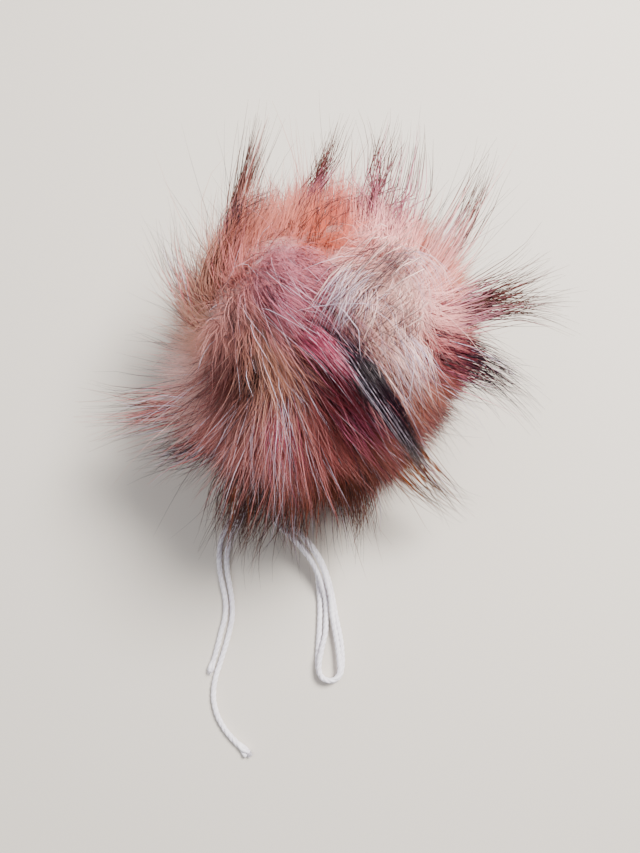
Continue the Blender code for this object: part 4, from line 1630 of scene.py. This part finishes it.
@dataclass
class Pile:
    """All the hair of the ball. Lengths are in millimetres."""

    ball: Ball
    combing: Combing
    shape: HairShape
    soft: bpy.types.Material
    glossy: bpy.types.Material
    form: HairForm = HairForm()
    lock_form: LockForm = LockForm()
    dyeing: Dyeing = Dyeing()
    draws: float = 1.4  # places drawn for each that is kept
    spare_draws: int = 50
    bare_rise: float = -64.0  # degrees above level under which nothing grows
    taper: float = 2.4
    pale_slimness: float = 0.95
    clump_count: int = 620
    clump_jitter: float = 0.02
    clump_sway: float = 0.10
    clump_length: float = 0.10
    stand_spread: float = 0.10
    stands: tuple[float, float] = (0.08, 1.5)
    guide_share: float = 0.7
    gather_power: float = 1.3
    pulls: tuple[float, float] = (0.5, 1.1)
    most_pull: float = 0.9
    lock_half_width: float = 1.7
    lock_depth: float = 2.2
    lock_holds: float = 0.86  # the share of hair that a lock on top presses down
    lock_softness: float = 0.05
    lock_seed: int = 31
    seed: int = 11

    def _places(self, chance: np.random.Generator, count: int) -> np.ndarray:
        """Draws random places on the ball, none of them right under it.

        Args:
            chance: where random numbers come from.
            count: how many places.

        Returns:
            Directions from the ball's middle.
        """
        places = unit(chance.normal(size=(int(count * self.draws) + self.spare_draws, 3)))
        lowest = math.sin(math.radians(self.bare_rise))
        return places[places[:, 2] > lowest][:count]

    def _under_locks(self, lines: np.ndarray) -> np.ndarray:
        """Presses hair down where it meets a lock that lies on top.

        Args:
            lines: the hairs' middle lines.

        Returns:
            The lines, nearer the ball where a lock holds them.
        """
        away = lines - self.ball.middle
        far = np.linalg.norm(away, axis=-1)
        heading = away / far[..., None]
        held = np.random.default_rng(self.seed).random((len(lines), 1)) < self.lock_holds
        for tuft in TUFTS:
            if not tuft.on_top:
                continue
            path = smooth_line(tuft.route, LOCK_SPACING) - self.ball.middle
            path_far = np.linalg.norm(path, axis=-1)
            closeness = heading @ (path / path_far[:, None]).T
            nearest = np.argmax(closeness, axis=-1)
            apart = np.arccos(np.clip(closeness.max(axis=-1), -1.0, 1.0)) * path_far[nearest]
            share = held * (1.0 - eased(apart, self.lock_half_width, 2.0 * self.lock_half_width))
            limit = path_far[nearest] - self.lock_depth
            far = far - share * np.maximum(far - limit, 0.0)
        return self.ball.middle + heading * far[..., None]

    def _combed(
        self, coat: Coat, places: np.ndarray, chance: np.random.Generator
    ) -> tuple[np.ndarray, np.ndarray]:
        """Combs one layer over the ball and gathers it into clumps.

        Args:
            coat: the layer.
            places: each hair's place on the ball.
            chance: where random numbers come from.

        Returns:
            The hairs' middle lines, and how each one's clump differs from the rest.
        """
        count = len(places)
        drift = np.random.default_rng(self.seed)
        jitter = self.clump_jitter * drift.normal(size=(self.clump_count, 3))
        centres = unit(even_places(self.clump_count) + jitter)
        nearest = np.argmax(places @ centres.T, axis=1)
        moods = drift.normal(size=(self.clump_count, 3))
        mood = moods[nearest]
        lay = self.combing.at(places)
        heart = self.combing.at(centres)
        heart.aim = heart.aim + self.clump_sway * moods
        lay.aim = lay.aim + self.clump_sway * mood + coat.wander * chance.normal(size=(count, 3))
        steepness = lay.stand + coat.stand + self.stand_spread * chance.normal(size=count)
        lay.stand = np.clip(steepness, *self.stands)
        least, most = coat.share
        share_of = least + (most - least) * chance.random(count) ** coat.skew
        lay.length = (coat.added + lay.length * share_of) * (1.0 + self.clump_length * mood[:, 2])
        lines = self.combing.lines(places, lay, coat.points)
        heart.length = coat.added + heart.length * (least + self.guide_share * (most - least))
        guides = self.combing.lines(centres, heart, coat.points)[nearest]
        share = np.linspace(0.0, 1.0, coat.points)[None, :, None] ** self.gather_power
        reach = np.clip(lay.length / np.maximum(heart.length[nearest], 1e-6), 0.0, 1.0)
        pull = lay.gather * coat.gather * reach * chance.uniform(*self.pulls, count)
        pull = np.clip(pull, 0.0, self.most_pull)
        return lines + pull[:, None, None] * share * (guides - lines), mood

    def coat(self, coat: Coat) -> Hairs:
        """Grows the hairs of one layer.

        Args:
            coat: the layer.

        Returns:
            Its hairs.
        """
        chance = np.random.default_rng(coat.seed)
        places = self._places(chance, int(coat.count * (1.0 + coat.guard)))
        grows = colouring(places).guard * coat.guard + (1.0 - coat.guard)
        places = places[chance.random(len(places)) < grows][: coat.count]
        lines, mood = self._combed(coat, places, chance)
        lines = self._under_locks(self.form.waved(lines, chance, coat.wave))
        lines = self.form.settled(lines, chance)
        dyed = self.dyeing.coat(coat, colouring(places), mood, chance)
        thick = chance.uniform(*coat.thick, len(places)) * np.where(dyed.is_pale, self.pale_slimness, 1.0)
        radii = self.form.radii(coat.points, thick, self.taper)
        return Hairs(lines, radii, dyed.body, dyed.tips, dyed.turns)

    def tuft(self, tuft: Tuft, index: int) -> Hairs:
        """Grows the hairs of one marked lock.

        Args:
            tuft: the lock.
            index: its place in the table, which seeds its random numbers.

        Returns:
            Its hairs.
        """
        chance = np.random.default_rng(self.lock_seed + index)
        lines = self.lock_form.lines(tuft, self.ball, chance)
        lines = self.form.settled(self.form.waved(lines, chance, tuft.wave), chance)
        dyed = self.dyeing.tuft(tuft, chance)
        thick = tuft.thick * chance.uniform(*self.lock_form.thickness, tuft.count)
        radii = self.form.radii(self.lock_form.points, thick, self.lock_form.taper)
        return Hairs(lines, radii, dyed.body, dyed.tips, dyed.turns)

    def build(self) -> list[bpy.types.Object]:
        """Builds every piece of hair and gives it its place in the model.

        Returns:
            The pieces.
        """
        sets = {}
        for coat in COATS:
            hairs = self.coat(coat)
            round_it = np.argsort(np.arctan2(hairs.lines[:, 0, 1], hairs.lines[:, 0, 0]))
            for index, which in enumerate(np.array_split(round_it, coat.pieces)):
                sets[f"{coat.name}_{index + 1}"] = (hairs.chosen(which), coat.softness)
        tufts = Hairs.joined([self.tuft(tuft, index) for index, tuft in enumerate(TUFTS)])
        sets["tufts"] = (tufts, self.lock_softness)
        pieces = []
        for name, (hairs, softness) in sets.items():
            finish = self.soft if name.startswith("wool") else self.glossy
            piece = self.shape.piece(name, hairs, finish, self.ball.middle, softness)
            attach(piece, "root")
            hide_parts("fur_ball")
            pieces.append(piece)
            LOG.info("%s: %d hairs, %d faces", name, len(hairs.lines), len(piece.data.polygons))
        return pieces


@dataclass
class Ground:
    """The stuffed ball under the hair. Lengths are in millimetres."""

    ball: Ball
    finish: bpy.types.Material
    combing: Combing
    detail: int = 5
    rough: float = 0.4
    swell: float = 3.6
    swells: tuple[float, float] = (-0.85, -0.25)  # heights on a ball of radius 1
    floor_gap: float = 0.3
    # painted shade: share of the pile's dye that the ground takes, darker as the depth between hairs
    shade: float = 0.8
    streaks_along: float = 0.05
    streaks_across: float = 0.9
    seed: int = 5

    def build(self) -> bpy.types.Object:
        """Builds the ball: round, lumpy and flat where it rests.

        Returns:
            The piece.
        """
        bpy.ops.mesh.primitive_ico_sphere_add(subdivisions=self.detail, radius=1.0)
        piece = bpy.context.active_object
        piece.name = piece.data.name = "fur_ground"
        places = np.zeros(len(piece.data.vertices) * 3)
        piece.data.vertices.foreach_get("co", places)
        places = unit(places.reshape(-1, 3))
        chance = np.random.default_rng(self.seed)
        swell = self.swell * eased(places[:, 2], *self.swells)[:, None]
        rough = self.rough * chance.normal(size=(len(places), 1))
        points = self.ball.surface(places) + (swell + rough) * places
        points[:, 2] = np.maximum(points[:, 2], self.floor_gap)
        piece.data.vertices.foreach_set("co", (points * MM).astype(np.float32).ravel())
        piece.data.shade_smooth()
        # painted shade: the ground is the pile's dye made darker, as the shade between the hairs
        set_colours(piece.data, "dye", self.shade * colouring(places).body)
        aim = self.combing.at(places).aim
        along = unit(aim - (aim * places).sum(1, keepdims=True) * places)
        across = np.cross(places, along)
        comb = [(points * along).sum(1) * self.streaks_along, (points * across).sum(1) * self.streaks_across]
        set_vectors(piece.data, "comb", np.column_stack((*comb, np.zeros(len(places)))))
        piece.data.materials.append(self.finish)
        piece.data.update()
        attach(piece, "root")
        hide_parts("fur_ball")
        LOG.info("fur_ground: %d faces", len(piece.data.polygons))
        return piece


# ---------------------------------------------------------------- the yarn tie


class FarEnd(Enum):
    """What a strand's far end does."""

    BARE = "bare"
    OBJECT = "object"


@dataclass(frozen=True)
class Fray:
    """How a cut end opens: how far its plies part, and how fluffy it is."""

    reach: float
    parting: float
    swelling: float
    fibres: int
    longest: float


@dataclass(frozen=True)
class Strand:
    """One length of plied yarn, in millimetres."""

    name: str
    node: str
    route: tuple[tuple[float, float, float], ...]
    far_end: FarEnd
    seed: int
    fray: Fray | None = None
    diameter: float = 1.8
    plies: int = 3
    ply_radius: float = 0.58
    ply_offset: float = 0.40
    pitch: float = 6.5
    fuzz: int = 420


SHORT_TAIL = (
    (-20.7, -24.8, 14.6), (-22.3, -26.9, 12.5), (-25.6, -31.2, 8.9), (-29.7, -36.8, 4.9),
    (-34.4, -43.4, 1.9), (-38.6, -49.4, 1.0), (-41.2, -53.6, 1.0), (-43.6, -58.2, 1.0),
    (-45.3, -62.4, 1.0), (-45.8, -67.0, 1.0), (-45.6, -72.0, 1.0), (-44.6, -77.4, 1.0),
    (-43.5, -81.8, 1.0), (-42.9, -86.2, 1.0), (-43.2, -90.6, 1.0), (-44.4, -95.4, 1.0),
    (-45.5, -100.2, 1.0), (-46.8, -105.0, 1.0), (-48.0, -108.8, 1.0),
)
LONG_TAIL = (
    (-19.9, -23.7, 12.8), (-21.5, -25.8, 10.7), (-24.0, -29.6, 7.0), (-27.0, -34.8, 3.4),
    (-30.6, -41.2, 1.3), (-34.9, -48.4, 1.0), (-39.2, -55.2, 1.0), (-41.6, -60.4, 1.0),
    (-42.6, -65.0, 1.0), (-42.9, -69.8, 1.0), (-42.5, -74.4, 1.0), (-41.7, -78.4, 1.0),
    (-40.9, -82.6, 1.0), (-40.4, -87.0, 1.0), (-40.6, -91.4, 1.0), (-41.6, -96.2, 1.0),
    (-42.8, -100.8, 1.0), (-44.2, -105.4, 1.0), (-45.7, -110.2, 1.0), (-46.5, -114.8, 1.0),
    (-46.3, -119.4, 1.0), (-44.9, -124.0, 1.0), (-42.6, -128.0, 1.0), (-39.8, -131.3, 1.0),
    (-36.8, -134.0, 1.0), (-33.6, -136.6, 1.0),
)
LOOP_OUTER = (
    (-18.1, -25.1, 12.7), (-19.6, -27.1, 10.7), (-22.3, -31.1, 9.2), (-25.1, -36.3, 9.3),
    (-27.3, -42.0, 10.2), (-27.7, -47.6, 10.9), (-26.1, -52.8, 10.9), (-22.6, -57.1, 10.2),
    (-18.4, -60.9, 9.0), (-14.7, -64.9, 7.4), (-11.5, -69.4, 5.6), (-9.4, -74.4, 3.7),
    (-8.8, -79.4, 2.0), (-8.4, -84.4, 1.0), (-8.4, -90.0, 1.0), (-8.6, -95.6, 1.0),
    (-9.0, -100.8, 1.0), (-9.2, -104.8, 1.0), (-9.0, -108.1, 1.0), (-8.1, -110.6, 1.0),
    (-6.1, -112.0, 1.0), (-3.6, -112.1, 1.0), (-1.5, -110.8, 1.0), (-0.5, -108.4, 1.0),
    (-0.2, -104.8, 1.0), (-0.5, -99.8, 1.0), (-1.5, -94.2, 1.0), (-2.7, -88.6, 1.0),
    (-3.7, -83.0, 1.6), (-5.0, -77.4, 3.1), (-6.9, -71.9, 5.2), (-9.7, -66.6, 7.2),
    (-13.2, -62.1, 9.0), (-17.2, -58.2, 10.3), (-21.0, -54.6, 10.9), (-23.9, -50.8, 10.9),
    (-25.0, -46.6, 10.7), (-24.4, -41.4, 10.0), (-22.2, -35.9, 9.2), (-19.6, -31.1, 9.5),
    (-17.5, -28.2, 10.9), (-16.3, -26.5, 12.8),
)
LOOP_INNER = (
    (-19.0, -26.3, 14.7), (-20.5, -28.3, 12.7), (-23.2, -32.1, 11.5), (-25.6, -36.9, 11.7),
    (-27.5, -42.1, 12.5), (-27.9, -47.6, 13.1), (-26.3, -52.9, 13.1), (-22.8, -57.3, 12.4),
    (-18.6, -61.2, 11.2), (-14.8, -65.3, 9.7), (-11.4, -69.8, 7.9), (-8.9, -74.6, 5.9),
    (-7.4, -79.4, 3.8), (-6.3, -84.4, 1.9), (-6.1, -90.0, 1.2), (-6.4, -95.6, 1.8),
    (-7.6, -100.6, 2.8), (-8.5, -104.8, 3.1), (-8.6, -107.9, 3.1), (-7.9, -110.2, 3.1),
    (-6.1, -111.5, 3.1), (-3.8, -111.6, 3.1), (-2.0, -110.4, 3.1), (-1.2, -108.0, 3.0),
    (-1.4, -104.6, 2.9), (-2.0, -99.8, 2.7), (-3.0, -94.2, 2.6), (-3.9, -88.6, 2.9),
    (-4.5, -83.1, 3.9), (-5.7, -77.7, 5.3), (-7.3, -72.3, 7.4), (-9.9, -67.0, 9.5),
    (-13.4, -62.4, 11.3), (-17.3, -58.5, 12.5), (-21.1, -54.9, 13.1), (-24.0, -51.1, 13.1),
    (-25.1, -46.8, 12.9), (-24.6, -41.5, 12.3), (-22.6, -36.2, 11.6), (-20.2, -31.6, 11.7),
    (-18.4, -29.2, 12.9), (-17.2, -27.5, 14.8),
)
STRANDS = (
    Strand(
        "short_tail", "tail_short", SHORT_TAIL, FarEnd.BARE, seed=3,
        fray=Fray(reach=4.0, parting=0.4, swelling=0.30, fibres=260, longest=1.7),
    ),
    Strand(
        "long_tail", "tail_long", LONG_TAIL, FarEnd.BARE, seed=4,
        fray=Fray(reach=6.0, parting=0.75, swelling=0.38, fibres=420, longest=2.0),
    ),
    Strand("outer_loop", "loop_outer", LOOP_OUTER, FarEnd.OBJECT, seed=5),
    Strand("inner_loop", "loop_inner", LOOP_INNER, FarEnd.OBJECT, seed=6),
)


@dataclass
class Fibres:
    """Middle lines of unlike lengths, in millimetres, with each point's thickness."""

    lines: list[np.ndarray] = field(default_factory=list)
    radii: list[np.ndarray] = field(default_factory=list)

    def add(self, line: np.ndarray, radii: np.ndarray) -> None:
        """Adds one line."""
        self.lines.append(line)
        self.radii.append(radii)


@dataclass
class YarnShape:
    """Sweeps plies and fibres along their middle lines.

    Each has a cell of its own on the bake map. Margins and widths are shares of it.
    """

    sides: int = YARN_SIDES
    stretch: float = 4.0  # columns of cells for each row
    side_margin: float = 0.1
    side_width: float = 0.8
    end_margin: float = 0.1
    end_width: float = 0.8
    bulge: float = 0.2
    lie_along: float = 0.8  # size of the pattern of fibres along a ply
    lie_round: float = 9.0
    lie_apart: float = 7.3  # how far apart in the pattern two plies are
    made: NodeShape = field(init=False)

    def __post_init__(self) -> None:
        """Builds the tree of Geometry Nodes, which also stores how the fibres lie."""
        self.made = fibre_tree("yarn", self.sides)
        fibres = swept(self.made)
        nodes = self.made.nodes
        around = nodes.named("side") * self.lie_round
        sockets = {"X": nodes.named("run"), "Y": around, "Z": nodes.named("ply")}
        lie = nodes.value("ShaderNodeCombineXYZ", sockets=sockets)
        self.made.finish(nodes.stored(fibres, "lie", lie, "FLOAT_VECTOR", "POINT"))

    def piece(self, name: str, fibres: Fibres, sides: int, finish: bpy.types.Material) -> bpy.types.Object:
        """Makes one piece of plies or fibres.

        Args:
            name: the piece's name.
            fibres: the middle lines.
            sides: how many sides each gets.
            finish: the material.

        Returns:
            The piece.
        """
        sizes = [len(line) for line in fibres.lines]
        starts = np.concatenate(([0], np.cumsum(sizes)[:-1]))
        pairs = [np.column_stack((np.arange(size - 1), np.arange(1, size))) for size in sizes]
        edges = np.concatenate([pair + start for pair, start in zip(pairs, starts)])
        data = mesh_from(f"{name}_lines", np.concatenate(fibres.lines) * MM, edges=edges)
        rows = max(int(round(math.sqrt(len(sizes) / self.stretch))), 1)
        columns = int(math.ceil(len(sizes) / rows))
        run, cell, ply = [], [], []
        for index, line in enumerate(fibres.lines):
            far = distances(line)
            run.append(far * self.lie_along)
            ply.append(np.full(len(line), index * self.lie_apart))
            left = np.full(len(line), (index // rows + self.side_margin) / columns)
            up = (index % rows + self.end_margin) / rows + far / far[-1] * self.end_width / rows
            wide = np.full(len(line), self.side_width / columns)
            cell.append(np.column_stack((left, up, wide)))
        set_floats(data, "run", np.concatenate(run))
        set_floats(data, "ply", np.concatenate(ply))
        set_floats(data, "along", np.concatenate([np.linspace(0.0, 1.0, size) for size in sizes]))
        set_floats(data, "thick", np.concatenate(fibres.radii) * MM)
        set_vectors(data, "cell", np.concatenate(cell))
        return self.made.shape(name, data, {"Sides": sides, "Bulge": self.bulge / rows, "Material": finish})


@dataclass
class Yarn:
    """One strand of the tie: its plies, its fuzz and its frayed end, in millimetres."""

    strand: Strand
    shape: YarnShape
    finish: bpy.types.Material
    spacing: float = 0.5
    slub_size: float = 0.05
    slub_lengths: tuple[float, float] = (5.3, 2.1)
    twist_sway: float = 0.5
    twist_length: float = 17.0
    ply_sizes: tuple[float, float] = (0.96, 1.04)
    ply_gap: float = 0.05  # between a ply and the floor
    least_parting: float = 0.4
    first_parting: float = 0.6  # how much further the first ply parts
    end_length: float = 0.5
    end_size: float = 0.8
    fuzz_lengths: tuple[float, float] = (0.5, 1.5)
    fuzz_leans: tuple[float, float] = (-1.6, 1.6)
    fuzz_radius: float = 0.025
    fuzz_depth: float = 0.78  # how far from the middle a fibre starts
    fray_lean: float = 2.4
    fray_radius: float = 0.04
    fray_depths: tuple[float, float] = (0.1, 0.9)
    fray_points: int = 5  # points at the cut end that fluff grows from
    fibre_points: int = 4
    fibre_out: tuple[float, float] = (0.3, 1.0)
    fibre_bend: float = 0.4
    fibre_curl: float = 0.4
    fibre_droop: float = 0.5
    fibre_taper: float = 0.6
    fibre_gap: float = 0.03
    fuzz_seed: int = 50

    def _plies(self, line: np.ndarray) -> Fibres:
        """Twists the plies round the strand's middle line.

        Args:
            line: the middle line.

        Returns:
            The plies' own middle lines.
        """
        strand = self.strand
        _, side, rise = frames_along(line)
        far = np.linspace(0.0, length_of(line), len(line))
        left = far[-1] - far
        chance = np.random.default_rng(strand.seed)
        long_slub, short_slub = self.slub_lengths
        slub = 1.0 + self.slub_size * np.sin(far / long_slub + strand.seed) * np.sin(far / short_slub)
        made = Fibres()
        for ply in range(strand.plies):
            turn = 2.0 * math.pi * (far / strand.pitch + ply / strand.plies)
            turn = turn + self.twist_sway * np.sin(far / self.twist_length)
            offset = np.full(len(line), strand.ply_offset)
            radii = strand.ply_radius * slub * chance.uniform(*self.ply_sizes)
            if strand.fray:
                opened = eased(-left, -strand.fray.reach, 0.0)
                parting = self.least_parting + self.first_parting * (ply == 0)
                offset = offset + strand.fray.parting * opened * parting
                radii = radii * (1.0 + strand.fray.swelling * opened)
                turn = turn - opened * turn + opened * turn[np.argmax(left < strand.fray.reach)]
            course = line + offset[:, None] * (np.cos(turn)[:, None] * side + np.sin(turn)[:, None] * rise)
            course[:, 2] = np.maximum(course[:, 2], radii + self.ply_gap)
            made.add(course, radii * np.where(left < self.end_length, self.end_size, 1.0))
        return made

    def _fuzz(self, line: np.ndarray) -> Fibres:
        """Grows short loose fibres all along, and the fluff of a cut end.

        Args:
            line: the strand's middle line.

        Returns:
            The fibres.
        """
        strand = self.strand
        chance = np.random.default_rng(strand.seed + self.fuzz_seed)
        way, side, rise = frames_along(line)
        made = Fibres()
        share = np.linspace(0.0, 1.0, self.fibre_points)[:, None]

        def grow(spot: int, length: float, lean: float, radius: float, depth: float) -> None:
            """Grows one fibre.

            Args:
                spot: the point of the line that it starts beside.
                length: its length.
                lean: how far it leans along the line, below 0 towards the start.
                radius: its thickness.
                depth: how far from the line it starts.
            """
            turn = chance.uniform(0.0, 2.0 * math.pi)
            out = math.cos(turn) * side[spot] + math.sin(turn) * rise[spot]
            swing = np.cross(out, way[spot])
            start = line[spot] + depth * out
            bend = chance.normal(0.0, self.fibre_bend)
            heading = unit(lean * way[spot] + chance.uniform(*self.fibre_out) * out + bend * swing)
            curl = chance.normal() * swing - self.fibre_droop * out
            fibre = start + share * length * heading + share**2 * length * self.fibre_curl * curl
            fibre[:, 2] = np.maximum(fibre[:, 2], radius + self.fibre_gap)
            made.add(fibre, radius * (1.0 - self.fibre_taper * share[:, 0]))

        for _ in range(strand.fuzz):
            spot = int(chance.integers(2, len(line) - 2))
            length = chance.uniform(*self.fuzz_lengths)
            grow(spot, length, chance.choice(self.fuzz_leans), self.fuzz_radius, self.fuzz_depth)
        if strand.fray:
            for _ in range(strand.fray.fibres):
                spot = int(len(line) - 1 - chance.integers(0, self.fray_points))
                length = chance.uniform(self.fuzz_lengths[0], strand.fray.longest)
                grow(spot, length, self.fray_lean, self.fray_radius, chance.uniform(*self.fray_depths))
        return made

    def build(self) -> list[bpy.types.Object]:
        """Returns:
            The plies and their fuzz.
        """
        strand = self.strand
        line = smooth_line(strand.route, self.spacing)
        yarn = self.shape.piece(f"yarn_{strand.name}", self._plies(line), YARN_SIDES, self.finish)
        fuzz = self.shape.piece(f"fuzz_{strand.name}", self._fuzz(line), FUZZ_SIDES, self.finish)
        for piece in (yarn, fuzz):
            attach(piece, "root")
            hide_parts(strand.node)
        LOG.info("yarn_%s: %.1f mm, %d faces", strand.name, length_of(line), len(yarn.data.polygons))
        LOG.info("fuzz_%s: %d faces", strand.name, len(fuzz.data.polygons))
        return [yarn, fuzz]


# ---------------------------------------------------------------- the studio


@dataclass(frozen=True)
class Lamp:
    """One soft area light, aimed at the part."""

    name: str
    place: tuple[float, float, float]
    size: float
    power: float
    colour: tuple[float, float, float]
    aim: tuple[float, float, float] = (0.0, 0.0, 0.04)

    def build(self) -> bpy.types.Object:
        """Builds the light.

        Returns:
            The light's object.
        """
        light = bpy.data.lights.new(self.name, "AREA")
        light.shape = "DISK"
        light.size = self.size
        light.energy = self.power
        light.color = self.colour
        made = bpy.data.objects.new(self.name, light)
        bpy.context.scene.collection.objects.link(made)
        made.location = self.place
        track = (np.array(self.aim) - np.array(self.place)).tolist()
        made.rotation_euler = mathutils.Vector(track).to_track_quat("-Z", "Y").to_euler()
        return made


@dataclass(frozen=True)
class Studio:
    """The camera, the soft light and the pale floor."""

    camera_place: tuple[float, float, float] = (-0.0083, -0.0604, 0.244)
    camera_tilt: float = 9.6
    sensor_height: float = 36.0
    focal_share: float = 641.0 / 853.0  # focal length beside the sensor's height
    clip_start: float = 0.005
    floor_half: float = 1.5
    room_light: float = 0.34
    room_colour: tuple[float, float, float] = (0.93, 0.95, 1.0)
    lamps: tuple[Lamp, ...] = (
        Lamp("key", (0.36, 0.30, 0.66), 0.34, 21.5, (1.0, 0.965, 0.92)),
        Lamp("fill", (-0.45, 0.10, 0.7), 0.8, 3.2, (0.96, 0.96, 1.0)),
    )

    def build(self) -> None:
        """Builds it all, and makes the camera the scene's."""
        scene = bpy.context.scene
        camera = bpy.data.cameras.new("camera")
        camera.sensor_fit = "VERTICAL"
        camera.sensor_height = self.sensor_height
        camera.lens = self.sensor_height * self.focal_share
        camera.clip_start = self.clip_start
        made = bpy.data.objects.new("camera", camera)
        scene.collection.objects.link(made)
        made.location = self.camera_place
        made.rotation_euler = (math.radians(self.camera_tilt), 0.0, 0.0)
        scene.camera = made
        for lamp in self.lamps:
            lamp.build()
        world = bpy.data.worlds.new("soft_room")
        world.use_nodes = True
        room = world.node_tree.nodes["Background"]
        room.inputs["Color"].default_value = (*self.room_colour, 1.0)
        room.inputs["Strength"].default_value = self.room_light
        scene.world = world
        half = self.floor_half
        corners = np.array(((-half, -half, 0.0), (half, -half, 0.0), (half, half, 0.0), (-half, half, 0.0)))
        floor = add_piece("floor", mesh_from("floor", corners, faces=[(0, 1, 2, 3)]))
        floor.data.materials.append(FloorFinish().material())


def main() -> None:
    """Builds the whole scene."""
    logging.basicConfig(level=logging.INFO, format="%(message)s")
    Studio().build()
    cotton = CottonFinish().material()
    yarn_shape = YarnShape()
    for strand in STRANDS:
        Yarn(strand, yarn_shape, cotton).build()
    ball = Ball()
    Ground(ball, GroundFinish().material(), Combing(ball)).build()
    soft = HairFinish("fur_wool", roughness=0.7, sheen=0.12, specular=0.2).material()
    glossy = HairFinish("fur_guard", roughness=0.38, sheen=0.0, specular=0.3).material()
    Pile(ball, Combing(ball), HairShape(), soft, glossy).build()


if __name__ == "__main__":
    main()
